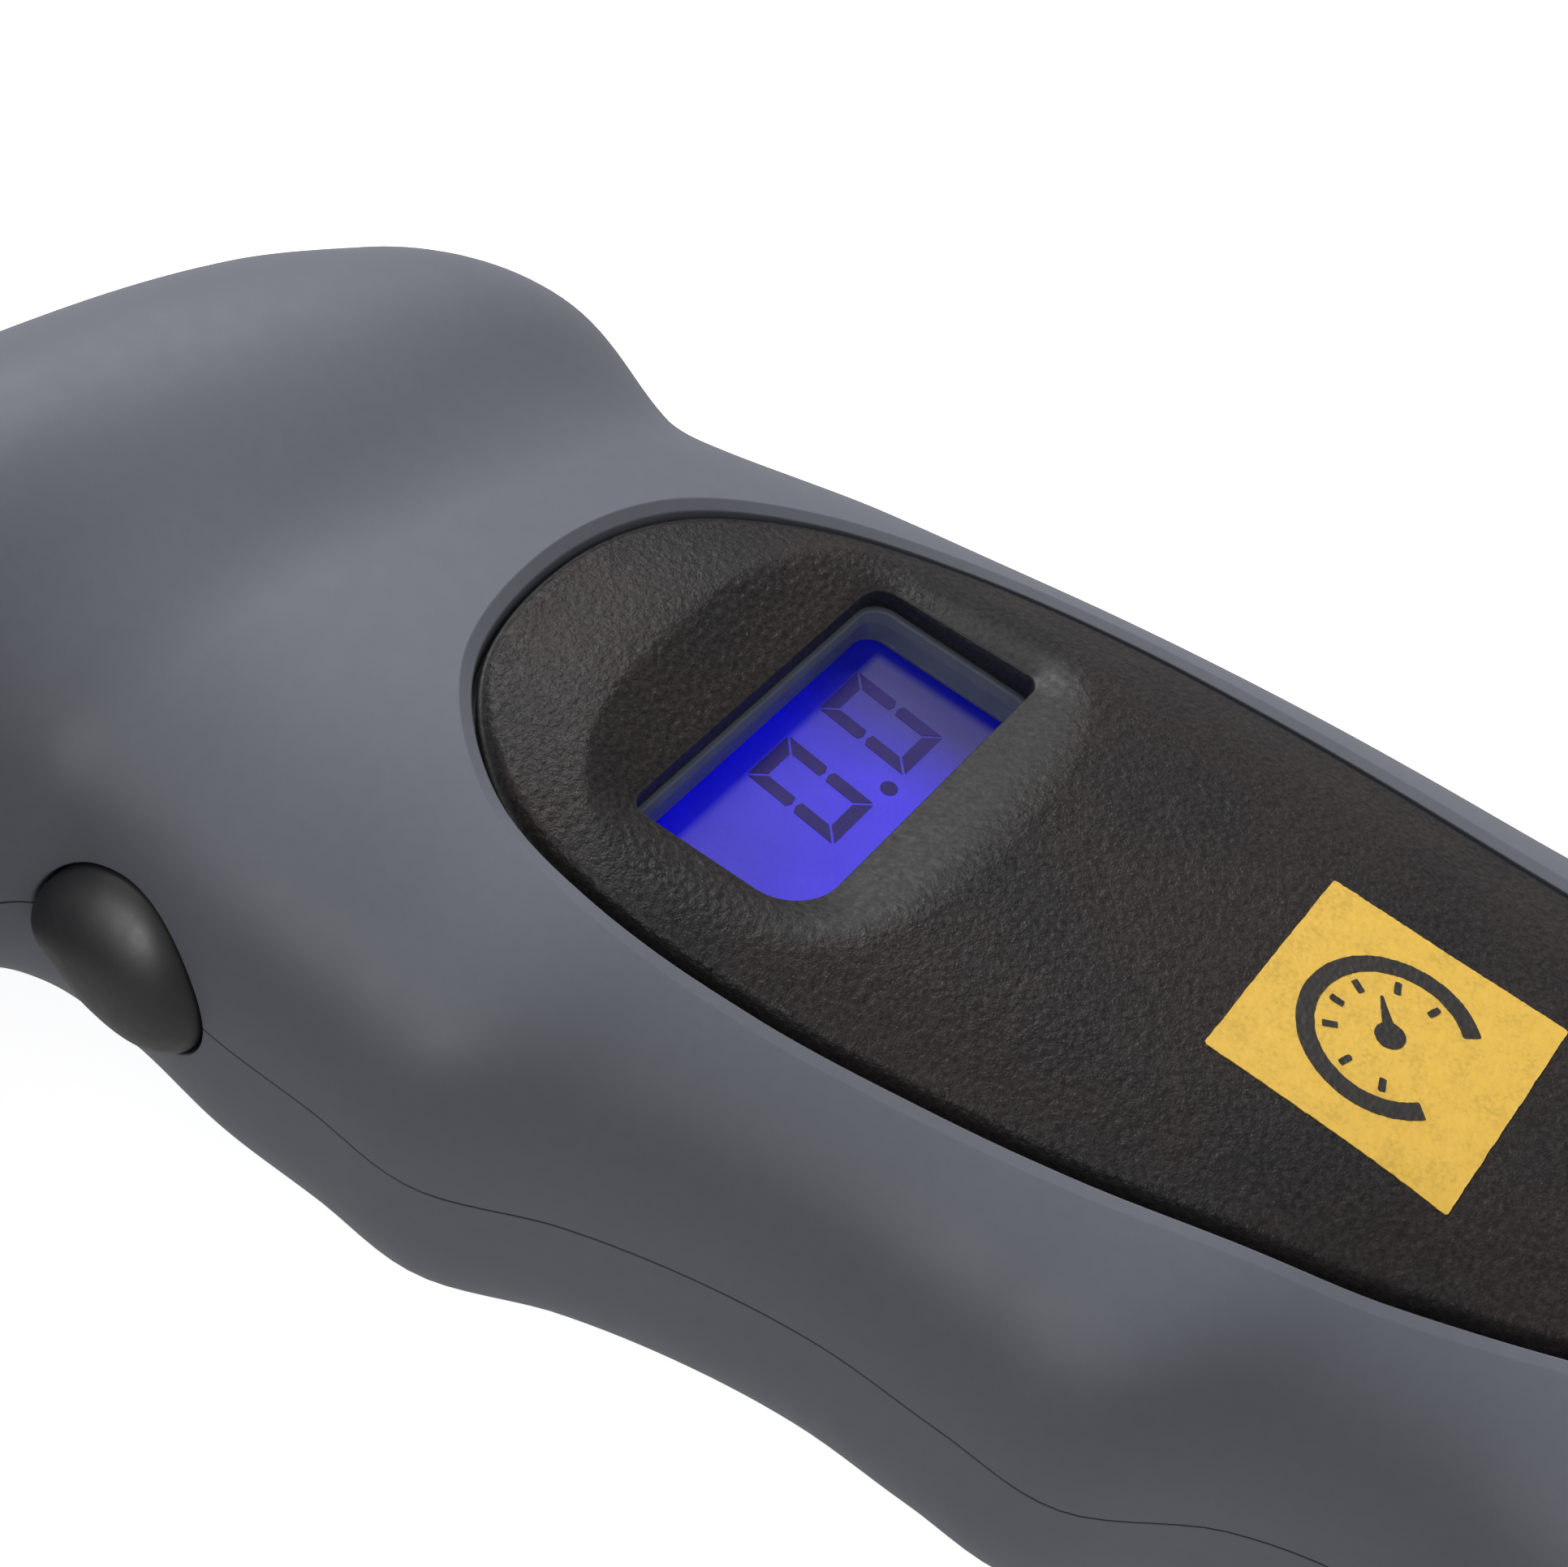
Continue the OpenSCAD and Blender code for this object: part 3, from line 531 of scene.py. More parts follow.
def half_shell(upper):
    st = stations(0.75, 1.0)
    C = np.array([s[0] for s in st], float)
    U = np.array([s[1] for s in st], float)
    tilt = np.array([s[2] for s in st])
    nphi = 150
    phi = np.linspace(0, np.pi, nphi + 1) * (1 if upper else -1)
    sgn = 1.0 if upper else -1.0
    D = (np.cos(tilt)[:, None, None] * (np.cos(phi)[None, :, None] * U[:, None, :] + np.sin(phi)[None, :, None] * np.array([0, 0, 1.0]))
         + np.sin(tilt)[:, None, None] * np.array([1.0, 0, 0]))
    G = cast(np.broadcast_to(C[:, None, :], D.shape), D)
    # edge rows at both ends of phi
    rows, norms = [], []
    NG = grad(G)

    def edge(k, k1):
        P0 = G[:, k].copy()
        P0[:, 2] = ZP
        nh = NG[:, k].copy(); nh[:, 2] = 0; nh = unit(nh)
        c = np.minimum(EDGE, 0.5 * np.abs(G[:, k1, 2] - ZP))[:, None]
        rs, ns = [], []
        for a in np.radians([0, 22.5, 45, 67.5, 90]):
            rs.append(P0 + c * (1 - math.sin(a)) * np.array([0, 0, sgn]) - c * (1 - math.cos(a)) * nh)
            ns.append(unit(math.cos(a) * nh + math.sin(a) * np.array([0, 0, -sgn])))
        return rs, ns

    ra, na = edge(0, 1)
    rb, nb = edge(nphi, nphi - 1)
    cols = ra[::-1] + [G[:, j] for j in range(1, nphi)] + rb
    ncol = na[::-1] + [NG[:, j] for j in range(1, nphi)] + nb
    G = np.stack(cols, 1)
    NG = np.stack(ncol, 1)
    # rounding of the arm's end
    last, nl = G[-1], NG[-1].copy()
    nl[:, 1] = 0; nl = unit(nl)
    for q in list(range(5)) + list(range(-5, 0)):
        nl[q] = [np.sign(last[q, 0] - NCX), 0, 0]
    extra, en = [], []
    for a in np.radians([22.5, 45, 67.5, 90]):
        e = last + np.array([0, -0.4 * math.sin(a), 0]) - 0.4 * (1 - math.cos(a)) * nl
        e[0, 2] = e[-1, 2] = ZP
        extra.append(e); en.append(unit(math.cos(a) * nl + math.sin(a) * np.array([0, -1.0, 0])))
    G = np.concatenate([G, np.stack(extra)]); NG = np.concatenate([NG, np.stack(en)])
    n, m = G.shape[:2]
    V = G.reshape(-1, 3)
    T = grid_tris(n, m)
    # pole of the butt
    pole = cast(np.array([[57.0, float(mid_y(np.float64(57))), ZP]]), np.array([[1.0, 0, 0]]))[0]
    V = np.vstack([V, pole])
    pi = len(V) - 1
    T = np.vstack([T, [(pi, j + 1, j) for j in range(m - 1)]])
    kp, kn = [G[:, :5].reshape(-1, 3), G[:, -5:].reshape(-1, 3), G[-4:].reshape(-1, 3)], [NG[:, :5].reshape(-1, 3), NG[:, -5:].reshape(-1, 3), NG[-4:].reshape(-1, 3)]
    # arm's end face
    ring = [(n - 1) * m + j for j in range(m)]
    T = np.vstack([T, fill_plane(V, [ring + [ring[0]]], (0, 2), False)])
    # each block of triangles faces outwards
    ng, npole = 2 * (n - 1) * (m - 1), m - 1
    for a, b, way in ((0, ng, None), (ng, ng + npole, None), (ng + npole, len(T), [0, -1.0, 0])):
        blk = T[a:b]
        fn = np.cross(V[blk[:, 1]] - V[blk[:, 0]], V[blk[:, 2]] - V[blk[:, 0]])
        gm = grad(V[blk].mean(1)) if way is None else np.array(way)[None]
        if (fn * gm).sum() < 0:
            T[a:b] = blk[:, ::-1]

    # ---- button hole
    s = np.hypot(V[:, 0] - BCX, V[:, 2] - BCZ) - (BHOLE + BLIP)
    s = np.where((V[:, 1] < -14) & (V[:, 1] > -34) & (np.abs(V[:, 0] - BCX) < 8), s, 5.0)
    V, T, cut = clip(V, T, s)
    ch = np.array(chains(cut)[0])
    P0 = V[ch].copy()
    n0 = grad(P0)
    th = np.unwrap(np.arctan2(P0[:, 2] - BCZ, P0[:, 0] - BCX))
    drop = BCZ - ZP
    turn = math.asin(drop / BHOLE) - math.asin(drop / (BHOLE + BLIP))
    ends = [th[0], th[-1]]
    lo_, hi_ = min(ends), max(ends)
    # the flat of the parting plane meets the smaller circle at a slightly different angle
    th = lo_ + (th - lo_) * 1.0
    a1 = lo_ - turn if upper else lo_ + turn
    b1 = hi_ + turn if upper else hi_ - turn
    th = a1 + (th - lo_) * (b1 - a1) / (hi_ - lo_)
    er = np.stack([np.cos(th), 0 * th, np.sin(th)], 1)
    tau = -er - np.einsum("ij,ij->i", -er, n0)[:, None] * n0
    tau = tau / np.maximum(0.35, np.einsum("ij,ij->i", tau, -er))[:, None]
    P1 = P0 + BLIP * tau
    fix = np.stack([BCX + BHOLE * er[:, 0], P1[:, 1], BCZ + BHOLE * er[:, 2]], 1)
    P1 = fix
    P2 = P1 + np.array([0, BLIP, 0])
    rows = bezier_rows(P0, P1, P2, 6)
    nrm = slerp_rows(n0, -er, 6)
    W = P2.copy(); W[:, 1] = -18.6
    rows.append(W); nrm.append(-er)
    for r in rows:
        for q in (0, -1):
            r[q, 2] = ZP
    S = np.stack(rows)
    base = len(V)
    V = np.vstack([V, S[1:].reshape(-1, 3)])
    k = len(ch)
    ids = np.vstack([ch, np.arange(base, base + 6 * k).reshape(6, k)])
    tt = []
    for i in range(6):
        for j in range(k - 1):
            a, b, c, e = ids[i, j], ids[i, j + 1], ids[i + 1, j], ids[i + 1, j + 1]
            tt += [(a, c, b), (b, c, e)]
    T = np.vstack([T, tt])
    kp.append(S.reshape(-1, 3)); kn.append(np.stack(nrm).reshape(-1, 3))
    floor = list(ids[-1])
    V = np.vstack([V, [[BCX, -18.6, ZP]]])
    hub = len(V) - 1
    T = np.vstack([T, [(floor[j], hub, floor[j + 1]) for j in range(k - 1)]])

    # ---- face plate pocket
    if upper:
        poly = out_off(GAP + LIP)
        near = (V[:, 2] > -7) & (V[:, 0] > -45) & (V[:, 0] < 52)
        sd = np.full(len(V), 9.0)
        sd[near], _ = poly_sd(V[near][:, :2], poly)
        V, T, cut = clip(V, T, sd)
        ch = np.array(chains(cut)[0][:-1])
        P0 = V[ch].copy()
        f = f_body(P0); P0 -= f[:, None] * grad(P0)
        V[ch] = P0
        n0 = grad(P0)
        _, g = poly_sd(P0[:, :2], out_off(0.0))
        gi = np.concatenate([-g, np.zeros((len(g), 1))], 1)
        # smooth the inward direction along the loop
        for _ in range(3):
            gi = unit(gi + 0.5 * np.roll(gi, 1, 0) + 0.5 * np.roll(gi, -1, 0))
        slope = -(n0 * gi).sum(1) / n0[:, 2]
        P1 = P0 + LIP * (gi + slope[:, None] * np.array([0, 0, 1.0]))
        ta = np.clip((P0[:, 0] + 38) / 14, 0, 1)
        tb = np.clip((1.0 - (P0[:, 1] - (0.09 * P0[:, 0] - 1.0))) / 5, 0, 1)
        fall = (0.40 - 0.28 * ta * ta * (3 - 2 * ta) * tb * tb * (3 - 2 * tb))[:, None]   # gentler on the arm's side
        way = P1 - P0 - fall * np.array([0, 0, 1.0])
        nc = unit(fall * gi + LIP * n0)
        rows = [P0 + q * way for q in (0, 0.05, 0.13, 0.5, 0.88, 0.97)]
        nrm = [n0, unit(n0 + nc), nc, nc, nc, unit(nc + gi)]
        Q = P0 + way - np.array([0, 0, 0.05])
        W = Q.copy(); W[:, 2] = P1[:, 2] - 1.62
        rows += [Q, W]; nrm += [gi, gi]
        S = np.stack(rows)
        base, k = len(V), len(ch)
        V = np.vstack([V, S[1:].reshape(-1, 3)])
        ids = np.vstack([ch, np.arange(base, base + 7 * k).reshape(7, k)])
        tt = []
        for i in range(7):
            for j in range(k):
                a, b, c, e = ids[i, j], ids[i, (j + 1) % k], ids[i + 1, j], ids[i + 1, (j + 1) % k]
                tt += [(a, c, b), (b, c, e)]
        T = np.vstack([T, tt])
        kp.append(S.reshape(-1, 3)); kn.append(np.stack(nrm).reshape(-1, 3))
        V = np.vstack([V, [[2.0, 1.0, -2.0]]])
        hub = len(V) - 1
        T = np.vstack([T, [(ids[-1][j], hub, ids[-1][(j + 1) % k]) for j in range(k)]])

    # ---- the flat at the parting plane
    V, T = weld(V, T, 2e-6)
    e = boundary(T)
    loops = chains([(b, a) for a, b in e])
    T = np.vstack([T, fill_plane(V, [l for l in loops if len(l) > 3], (0, 1), upper)])
    fnn = orient(V, T)
    left = boundary(fnn[1])
    print("shell", "upper" if upper else "lower", len(V), len(T), "open edges", len(left))
    return fnn[0], fnn[1], (np.vstack(kp), np.vstack(kn))


def inner_form():
    st = stations(3.0, 5.0, 2.2)
    C = np.array([s[0] for s in st], float)
    C[-1, 1] = -50 + 2.2
    U = np.array([s[1] for s in st], float)
    tilt = np.array([s[2] for s in st])
    phi = np.arange(72) * 2 * np.pi / 72
    D = (np.cos(tilt)[:, None, None] * (np.cos(phi)[None, :, None] * U[:, None, :] + np.sin(phi)[None, :, None] * np.array([0, 0, 1.0]))
         + np.sin(tilt)[:, None, None] * np.array([1.0, 0, 0]))
    keep = C[:, 1] >= -47.8
    G = cast(np.broadcast_to(C[:, None, :], D.shape), D, 2.2)[keep]
    n, m = G.shape[:2]
    V = np.vstack([G.reshape(-1, 3), [[70.8, float(mid_y(np.float64(57))), ZP]], [C[keep][-1]]])
    T = list(grid_tris(n, m, True))
    for j in range(m):
        T.append((n * m, (j + 1) % m, j))
        T.append((n * m + 1, (n - 1) * m + j, (n - 1) * m + (j + 1) % m))
    return orient(V, np.array(T))


SCREWS = [[60, 1.3], [-58, 0], [17, -8.2], [14, 14.2]]
inner = inner_form()


def prism(poly, z0, z1):
    n = len(poly)
    V = np.vstack([np.c_[poly, np.full(n, z0)], np.c_[poly, np.full(n, z1)]])
    T = [t for j in range(n) for t in ((j, (j + 1) % n, n + j), ((j + 1) % n, n + (j + 1) % n, n + j))]
    lo = fill_plane(V, [list(range(n)) + [0]], (0, 1), True)
    hi = fill_plane(V, [list(range(n, 2 * n)) + [n]], (0, 1), False)
    return orient(V, np.vstack([T, lo, hi]))


# front shell
V, T, known = half_shell(True)
sh = boolean((V, T), inner, "DIFFERENCE")
sh = boolean(sh, prism(out_off(-1.6)[::6], -9, 6), "DIFFERENCE")
bore = revolve([(0, 45.6), (7.15, 45.6), (7.15, 52.6), (0, 52.6)], "y", (NCX, 0, NCZ), 96)
sh = boolean(sh, bore, "DIFFERENCE")
front = finish_mesh("front_casing", sh[0], sh[1], known, True)

# rear shell
V, T, known = half_shell(False)
sh = boolean((V, T), inner, "DIFFERENCE")
CY = 2.2
wall_box = boolean(box_mesh(26, 47.4, CY - 7.6, CY + 7.6, ZB + 1.9, ZB + 11.5), box_mesh(27.2, 46.2, CY - 6.3, CY + 6.3, ZB - 2, ZB + 14), "DIFFERENCE")
wall_box = boolean(wall_box, box_mesh(20, 29, CY - 8, CY + 8, ZB + 0.1, ZB + 4.7), "DIFFERENCE")
sh = boolean(sh, wall_box, "UNION")
sh = boolean(sh, box_mesh(24.3, 46.2, CY - 6.3, CY + 6.3, ZB - 1, ZB + 5), "DIFFERENCE")


def rounded_rect(x0, x1, y0, y1, r, n=8):
    pts = []
    for cx, cy, a0 in ((x1 - r, y1 - r, 0), (x0 + r, y1 - r, 90), (x0 + r, y0 + r, 180), (x1 - r, y0 + r, 270)):
        for i in range(n + 1):
            a = math.radians(a0 + 90 * i / n)
            pts.append([cx + r * math.cos(a), cy + r * math.sin(a)])
    return np.array(pts)


def loft(polys, zs):
    """Closed solid through rings of equal length at the heights zs."""
    n, k = len(polys[0]), len(polys)
    V = np.vstack([np.c_[p, np.full(n, z)] for p, z in zip(polys, zs)])
    T = [t for i in range(k - 1) for j in range(n) for t in (
        (i * n + j, i * n + (j + 1) % n, (i + 1) * n + j), (i * n + (j + 1) % n, (i + 1) * n + (j + 1) % n, (i + 1) * n + j))]
    lo = fill_plane(V, [list(range(n)) + [0]], (0, 1), True)
    hi = fill_plane(V, [list(range((k - 1) * n, k * n)) + [(k - 1) * n]], (0, 1), False)
    return orient(V, np.vstack([T, lo, hi]))


def seat_poly(d):
    return rounded_rect(24.28 - d, 47.75 + d, CY - 7.95 - d, CY + 7.95 + d, 0.9 + d)


sh = boolean(sh, loft([seat_poly(1.25), seat_poly(0.25), seat_poly(0.07), seat_poly(0), seat_poly(0)],
                      [ZB - 1.0, ZB - 0.0, ZB + 0.07, ZB + 0.25, ZB + 1.65]), "DIFFERENCE")
for x, y in SCREWS:
    c = revolve([(0, -1), (3.9, -1), (2.95, 0.0), (2.77, 0.07), (2.7, 0.25), (2.7, 5.6), (0, 5.6)], "z", (x, y, ZB), 64)
    sh = boolean(sh, c, "DIFFERENCE")
sh = boolean(sh, bore, "DIFFERENCE")
rear = finish_mesh("rear_casing", sh[0], sh[1], known, True)

# ------------------------------------------------------------------ grain
def hash2(i, j, seed):
    """Repeatable random numbers from 0 to 1 for whole-number cells."""
    i, j = i.astype(np.int64), j.astype(np.int64)
    h = (i * 374761393 + j * 668265263 + seed * 2147483647) & 0xFFFFFFFF
    h = ((h ^ (h >> 13)) * 1274126177) & 0xFFFFFFFF
    h = ((h ^ (h >> 15)) * 2246822519) & 0xFFFFFFFF
    return ((h ^ (h >> 16)) & 0xFFFFFF) / float(0x1000000)


def pebble(x, y, cell, seed):
    """Height of a pebbled skin, 0 in the valleys to 1 on the grains."""
    u, v = x / cell, y / cell
    i, j = np.floor(u), np.floor(v)
    d1 = np.full_like(u, 9.0)
    d2 = np.full_like(u, 9.0)
    for a in (-1, 0, 1):
        for b in (-1, 0, 1):
            px = i + a + 0.15 + 0.7 * hash2(i + a, j + b, seed)
            py = j + b + 0.15 + 0.7 * hash2(i + a, j + b, seed + 7)
            d = np.hypot(u - px, v - py) * (0.8 + 0.4 * hash2(i + a, j + b, seed + 13))
            d2 = np.where(d < d1, d1, np.minimum(d2, d))
            d1 = np.minimum(d1, d)
    return np.clip((d2 - d1) * 1.5, 0, 1)


def vnoise(x, y, cell, seed):
    u, v = x / cell, y / cell
    i, j = np.floor(u), np.floor(v)
    a, b = u - i, v - j
    a, b = a * a * (3 - 2 * a), b * b * (3 - 2 * b)
    h = lambda p, q: hash2(i + p, j + q, seed)
    return (h(0, 0) * (1 - a) + h(1, 0) * a) * (1 - b) + (h(0, 1) * (1 - a) + h(1, 1) * a) * b


def sstep(a, b, x):
    t = np.clip((x - a) / (b - a), 0, 1)
    return t * t * (3 - 2 * t)


# ------------------------------------------------------------------ the face plate's top
OX, OY = 4.2, 8.5          # half of the display opening
DX, DY = 8.2, 11.6         # half of the dish


def sup_sd(x, y, a, b, n):
    """Roughly the distance to a superellipse, negative inside."""
    q = ((np.abs(x) / a) ** n + (np.abs(y) / b) ** n)
    r = np.maximum(q, 1e-12) ** (1 / n)
    gx = (np.abs(x) / a) ** (n - 1) / a
    gy = (np.abs(y) / b) ** (n - 1) / b
    g = np.hypot(gx, gy) * np.maximum(r, 1e-6) ** (1 - n)
    return (r - 1) / np.maximum(g, 0.05)


def corner_r(dx, dy):
    return np.where((dx > 0) & (dy < 0), 2.3, np.where((dx < 0) & (dy > 0), 1.15, 0.75))


def open_sd(x, y):
    dx, dy = x - DCX, y - DCY
    r = corner_r(dx, dy)
    qx, qy = np.abs(dx) - OX + r, np.abs(dy) - OY + r
    return np.hypot(np.maximum(qx, 0), np.maximum(qy, 0)) + np.minimum(np.maximum(qx, qy), 0) - r


class Edge:
    """Distance to the plate's outline, on a fine lattice, read back by interpolation."""

    def __init__(self):
        self.h = 0.25
        xs, ys = np.arange(-40, 46, self.h), np.arange(-18, 16, self.h)
        X, Y = np.meshgrid(xs, ys, indexing="ij")
        self.sd = poly_sd(np.c_[X.ravel(), Y.ravel()], OUT[::3])[0].reshape(X.shape)

    def __call__(self, x, y):
        u, v = (x + 40) / self.h, (y + 18) / self.h
        i = np.clip(np.floor(u).astype(int), 0, self.sd.shape[0] - 2)
        j = np.clip(np.floor(v).astype(int), 0, self.sd.shape[1] - 2)
        a, b, s = u - i, v - j, self.sd
        return (s[i, j] * (1 - a) + s[i + 1, j] * a) * (1 - b) + (s[i, j + 1] * (1 - a) + s[i + 1, j + 1] * a) * b


EDGE_SD = Edge()


def plate_z(x, y):
    """The plate's smooth top."""
    d = np.maximum(0, -EDGE_SD(x, y))
    base = face_z(x, y) - 0.04
    near = sstep(1.0, -4.0, y - (0.09 * x - 1.0)) * sstep(-38, -24, x)
    base = base - 0.30 * sstep(5.0, 0.0, d) - 1.15 * near * (1 - sstep(0.18, 0.64, d)) - 0.22 * (1 - near) * np.clip(1 - d / 0.5, 0, 1) ** 2
    base = base - 0.16 * sstep(-30, -37, x)
    so = open_sd(x, y)
    sd = -sup_sd(x - DCX, y - DCY, DX, DY, 2.6)
    t = np.clip(so / np.maximum(so + sd, 1e-6), 0, 1)
    t = np.where(sd <= 0, 1.0, t)
    rim = -1.25 + 0.045 * (x - DCX)
    lower = sstep(-4.5, 3.5, (x - DCX) + 0.35 * (y - DCY))
    crisp = 0.9 * t + 0.1 * sstep(0.0, 1.0, t)
    soft = 0.6 * t + 0.4 * np.sin(t * np.pi / 2)
    return rim + (base - rim) * (crisp * (1 - lower) + soft * lower)


def grain(x, y):
    """The pebbled skin's height in mm, and its strength from 0 to 1."""
    d = -EDGE_SD(x, y)
    so = open_sd(x, y)
    sd = -sup_sd(x - DCX, y - DCY, DX, DY, 2.6)
    t = np.clip(so / np.maximum(so + sd, 1e-6), 0, 1)
    t = np.where(sd <= 0, 1.0, t)
    lower = sstep(-3.5, 3.5, (x - DCX) + 0.35 * (y - DCY))
    smooth_lip = (1 - sstep(0.55, 1.05, t)) * lower
    wall = sstep(0.02, 0.15, t) * (1 - sstep(0.92, 1.0, t)) * (1 - lower)
    k = (1 - 0.92 * smooth_lip) * sstep(0.1, 0.5, d) * sstep(0.0, 0.25, so)
    amp = 0.046 + 0.050 * wall + 0.012 * (vnoise(x, y, 5.0, 3) - 0.5)
    fine = 0.7 * pebble(x, y, 0.27, 11) + 0.45 * vnoise(x, y, 0.21, 31) + 0.12 * vnoise(x, y, 0.7, 5)
    coarse = 0.9 * pebble(x, y, 0.42, 17) + 0.3 * vnoise(x, y, 0.24, 37)
    h = fine * (1 - wall) + coarse * wall
    return amp * h * k, k


def lattice(x0, x1, y0, y1, h):
    xs, ys = np.arange(x0, x1 + h, h), np.arange(y0, y1 + h, h)
    X, Y = np.meshgrid(xs, ys, indexing="ij")
    return X.ravel(), Y.ravel(), grid_tris(len(xs), len(ys))


def drop_unused(V, T):
    used = np.unique(T)
    back = np.full(len(V), -1)
    back[used] = np.arange(len(used))
    return V[used], back[T], back


def smooth_ring(P, n=2):
    for _ in range(n):
        P = 0.5 * P + 0.25 * np.roll(P, 1, 0) + 0.25 * np.roll(P, -1, 0)
    return P


def plate():
    h = 0.136
    X, Y, T = lattice(-39.5, 45, -17, 15, h)
    V = np.c_[X, Y, np.zeros_like(X)]
    e0, e1 = 0.16, 0.10
    inside = -EDGE_SD(X, Y)
    far = np.abs(inside) > 0.6
    sd = np.where(far, -inside, 0)
    sd[~far] = poly_sd(V[~far][:, :2], OUT[::2])[0]
    V, T, c1 = clip(V, T, -sd - e0)
    V, T, c2 = clip(V, T, open_sd(V[:, 0], V[:, 1]) - e1)
    V[:, 2] = plate_z(V[:, 0], V[:, 1]) + grain(V[:, 0], V[:, 1])[0]
    V, T, back = drop_unused(V, T)
    fn = np.cross(V[T[:, 1]] - V[T[:, 0]], V[T[:, 2]] - V[T[:, 0]])
    up = fn[:, 2] < 0
    T[up] = T[up][:, ::-1]
    V, T = weld(V, T, 2e-6)
    loops = sorted(chains([(b, a) for a, b in boundary(T)]), key=lambda l: -np.ptp(V[l[:-1]][:, 0]))
    ends = []
    for lp, kind in ((loops[0], "out"), (loops[1], "open")):
        ch = np.array(lp[:-1])
        P0 = V[ch].copy()
        if kind == "out":
            _, g = poly_sd(P0[:, :2], out_off(-2.0)[::2])
            e, deep = e0, 1.5
        else:
            q = 1e-3
            gx = open_sd(P0[:, 0] + q, P0[:, 1]) - open_sd(P0[:, 0] - q, P0[:, 1])
            gy = open_sd(P0[:, 0], P0[:, 1] + q) - open_sd(P0[:, 0], P0[:, 1] - q)
            g = -unit(np.c_[gx, gy])
            e, deep = e1, None
        g = unit(smooth_ring(g, 3))
        w = np.c_[g, np.zeros(len(g))]
        P1 = P0 + e * w
        P2 = P1 - np.array([0, 0, e * 1.1])
        rows = bezier_rows(P0, P1, P2, 5)[1:]
        low = P2.copy()
        if kind == "out":
            low[:, 2] = smooth_ring(P0[:, 2:3], 30)[:, 0] - 0.55
            bot = low.copy(); bot[:, 2] = face_z(low[:, 0], low[:, 1]) - 1.58
            low[:, 2] = np.maximum(low[:, 2], bot[:, 2] + 0.05)
            rows += [low, bot]
        else:
            low[:, 2] = -2.3
            bot = low - 0.16 * w; bot[:, 2] = -2.42
            b2 = bot.copy(); b2[:, 2] = -3.0
            rows += [low, bot, b2]
        base, k, m = len(V), len(ch), len(rows)
        V = np.vstack([V, np.stack(rows).reshape(-1, 3)])
        ids = np.vstack([ch, np.arange(base, base + m * k).reshape(m, k)])
        tt = []
        for i in range(m):
            for j in range(k):
                a, b, c, f = ids[i, j], ids[i, (j + 1) % k], ids[i + 1, j], ids[i + 1, (j + 1) % k]
                tt += [(a, b, c), (b, f, c)]
        T = np.vstack([T, tt])
        ends.append(list(ids[-1]) + [ids[-1][0]])
    # consistent winding: the strips follow the top's own edges
    e = boundary(T)
    # the underside: a tapering boss under the opening and the flat back of the plate
    under = fill_plane(V, ends, (0, 1), True)
    mid = V[under].mean(1)
    ring = V[ends[1][:-1]][:, :2]
    under = under[poly_sd(mid[:, :2], ring)[0] > 0]
    return V, np.vstack([T, under])


def fix_strips(V, T):
    """Turns each connected patch so that neighbours agree, then all of it outwards."""
    import bmesh
    me = bpy.data.meshes.new("tmp")
    me.from_pydata(V.tolist(), [], T.tolist())
    bm = bmesh.new()
    bm.from_mesh(me)
    bmesh.ops.recalc_face_normals(bm, faces=bm.faces)
    bm.to_mesh(me)
    bm.free()
    V2, T2 = arrays(me)
    bpy.data.meshes.remove(me)
    return orient(V2, T2)


def piece(name, V, T, deg=35.0):
    V, T = fix_strips(V, T)
    ob = obj_from(name, (V - ORG) / 1000.0, T)
    me = ob.data
    me.polygons.foreach_set("use_smooth", np.ones(len(me.polygons), bool))
    me.set_sharp_from_angle(angle=math.radians(deg))
    left = boundary(T)
    if len(left):
        print("NOTE open edges on", name, len(left))
    return ob


def film(name, sd, x0, x1, y0, y1, h, lift, depth, soft=0.5):
    """A thin print that follows the plate's skin where sd < 0."""
    X, Y, T = lattice(x0, x1, y0, y1, h)
    V = np.c_[X, Y, np.zeros_like(X)]
    V, T, _ = clip(V, T, -sd(X, Y))
    V, T, _ = drop_unused(V, T)
    V, T = weld(V, T, 2e-6)
    top = plate_z(V[:, 0], V[:, 1]) + soft * grain(V[:, 0], V[:, 1])[0] + lift
    n = len(V)
    loops = chains([(a, b) for a, b in boundary(T)])
    A, B = np.c_[V[:, :2], top], np.c_[V[:, :2], top - lift - depth]
    TT = [T, T[:, ::-1] + n]
    side = []
    for lp in loops:
        for a, b in zip(lp, lp[1:]):
            side += [(a, a + n, b), (b, a + n, b + n)]
    V = np.vstack([A, B])
    return piece(name, V, np.vstack(TT + [np.array(side)]), 50)


face = piece("face_insert", *plate(), 62)
co = np.zeros(len(face.data.vertices) * 3, np.float32)
face.data.vertices.foreach_get("co", co)
co = co.reshape(-1, 3).astype(float) * 1000.0 + ORG
at = face.data.attributes.new("grain", "FLOAT", "POINT")
at.data.foreach_set("value", grain(co[:, 0], co[:, 1])[1].astype(np.float32))


def badge_sd(x, y):
    rag = 0.045 * (vnoise(x, y, 0.30, 41) - 0.5) + 0.02 * (vnoise(x, y, 0.9, 43) - 0.5)
    qx, qy = np.abs(x) - (5.25 - 0.12), np.abs(y) - (5.25 - 0.12)
    return np.hypot(np.maximum(qx, 0), np.maximum(qy, 0)) + np.minimum(np.maximum(qx, qy), 0) - 0.12 + rag


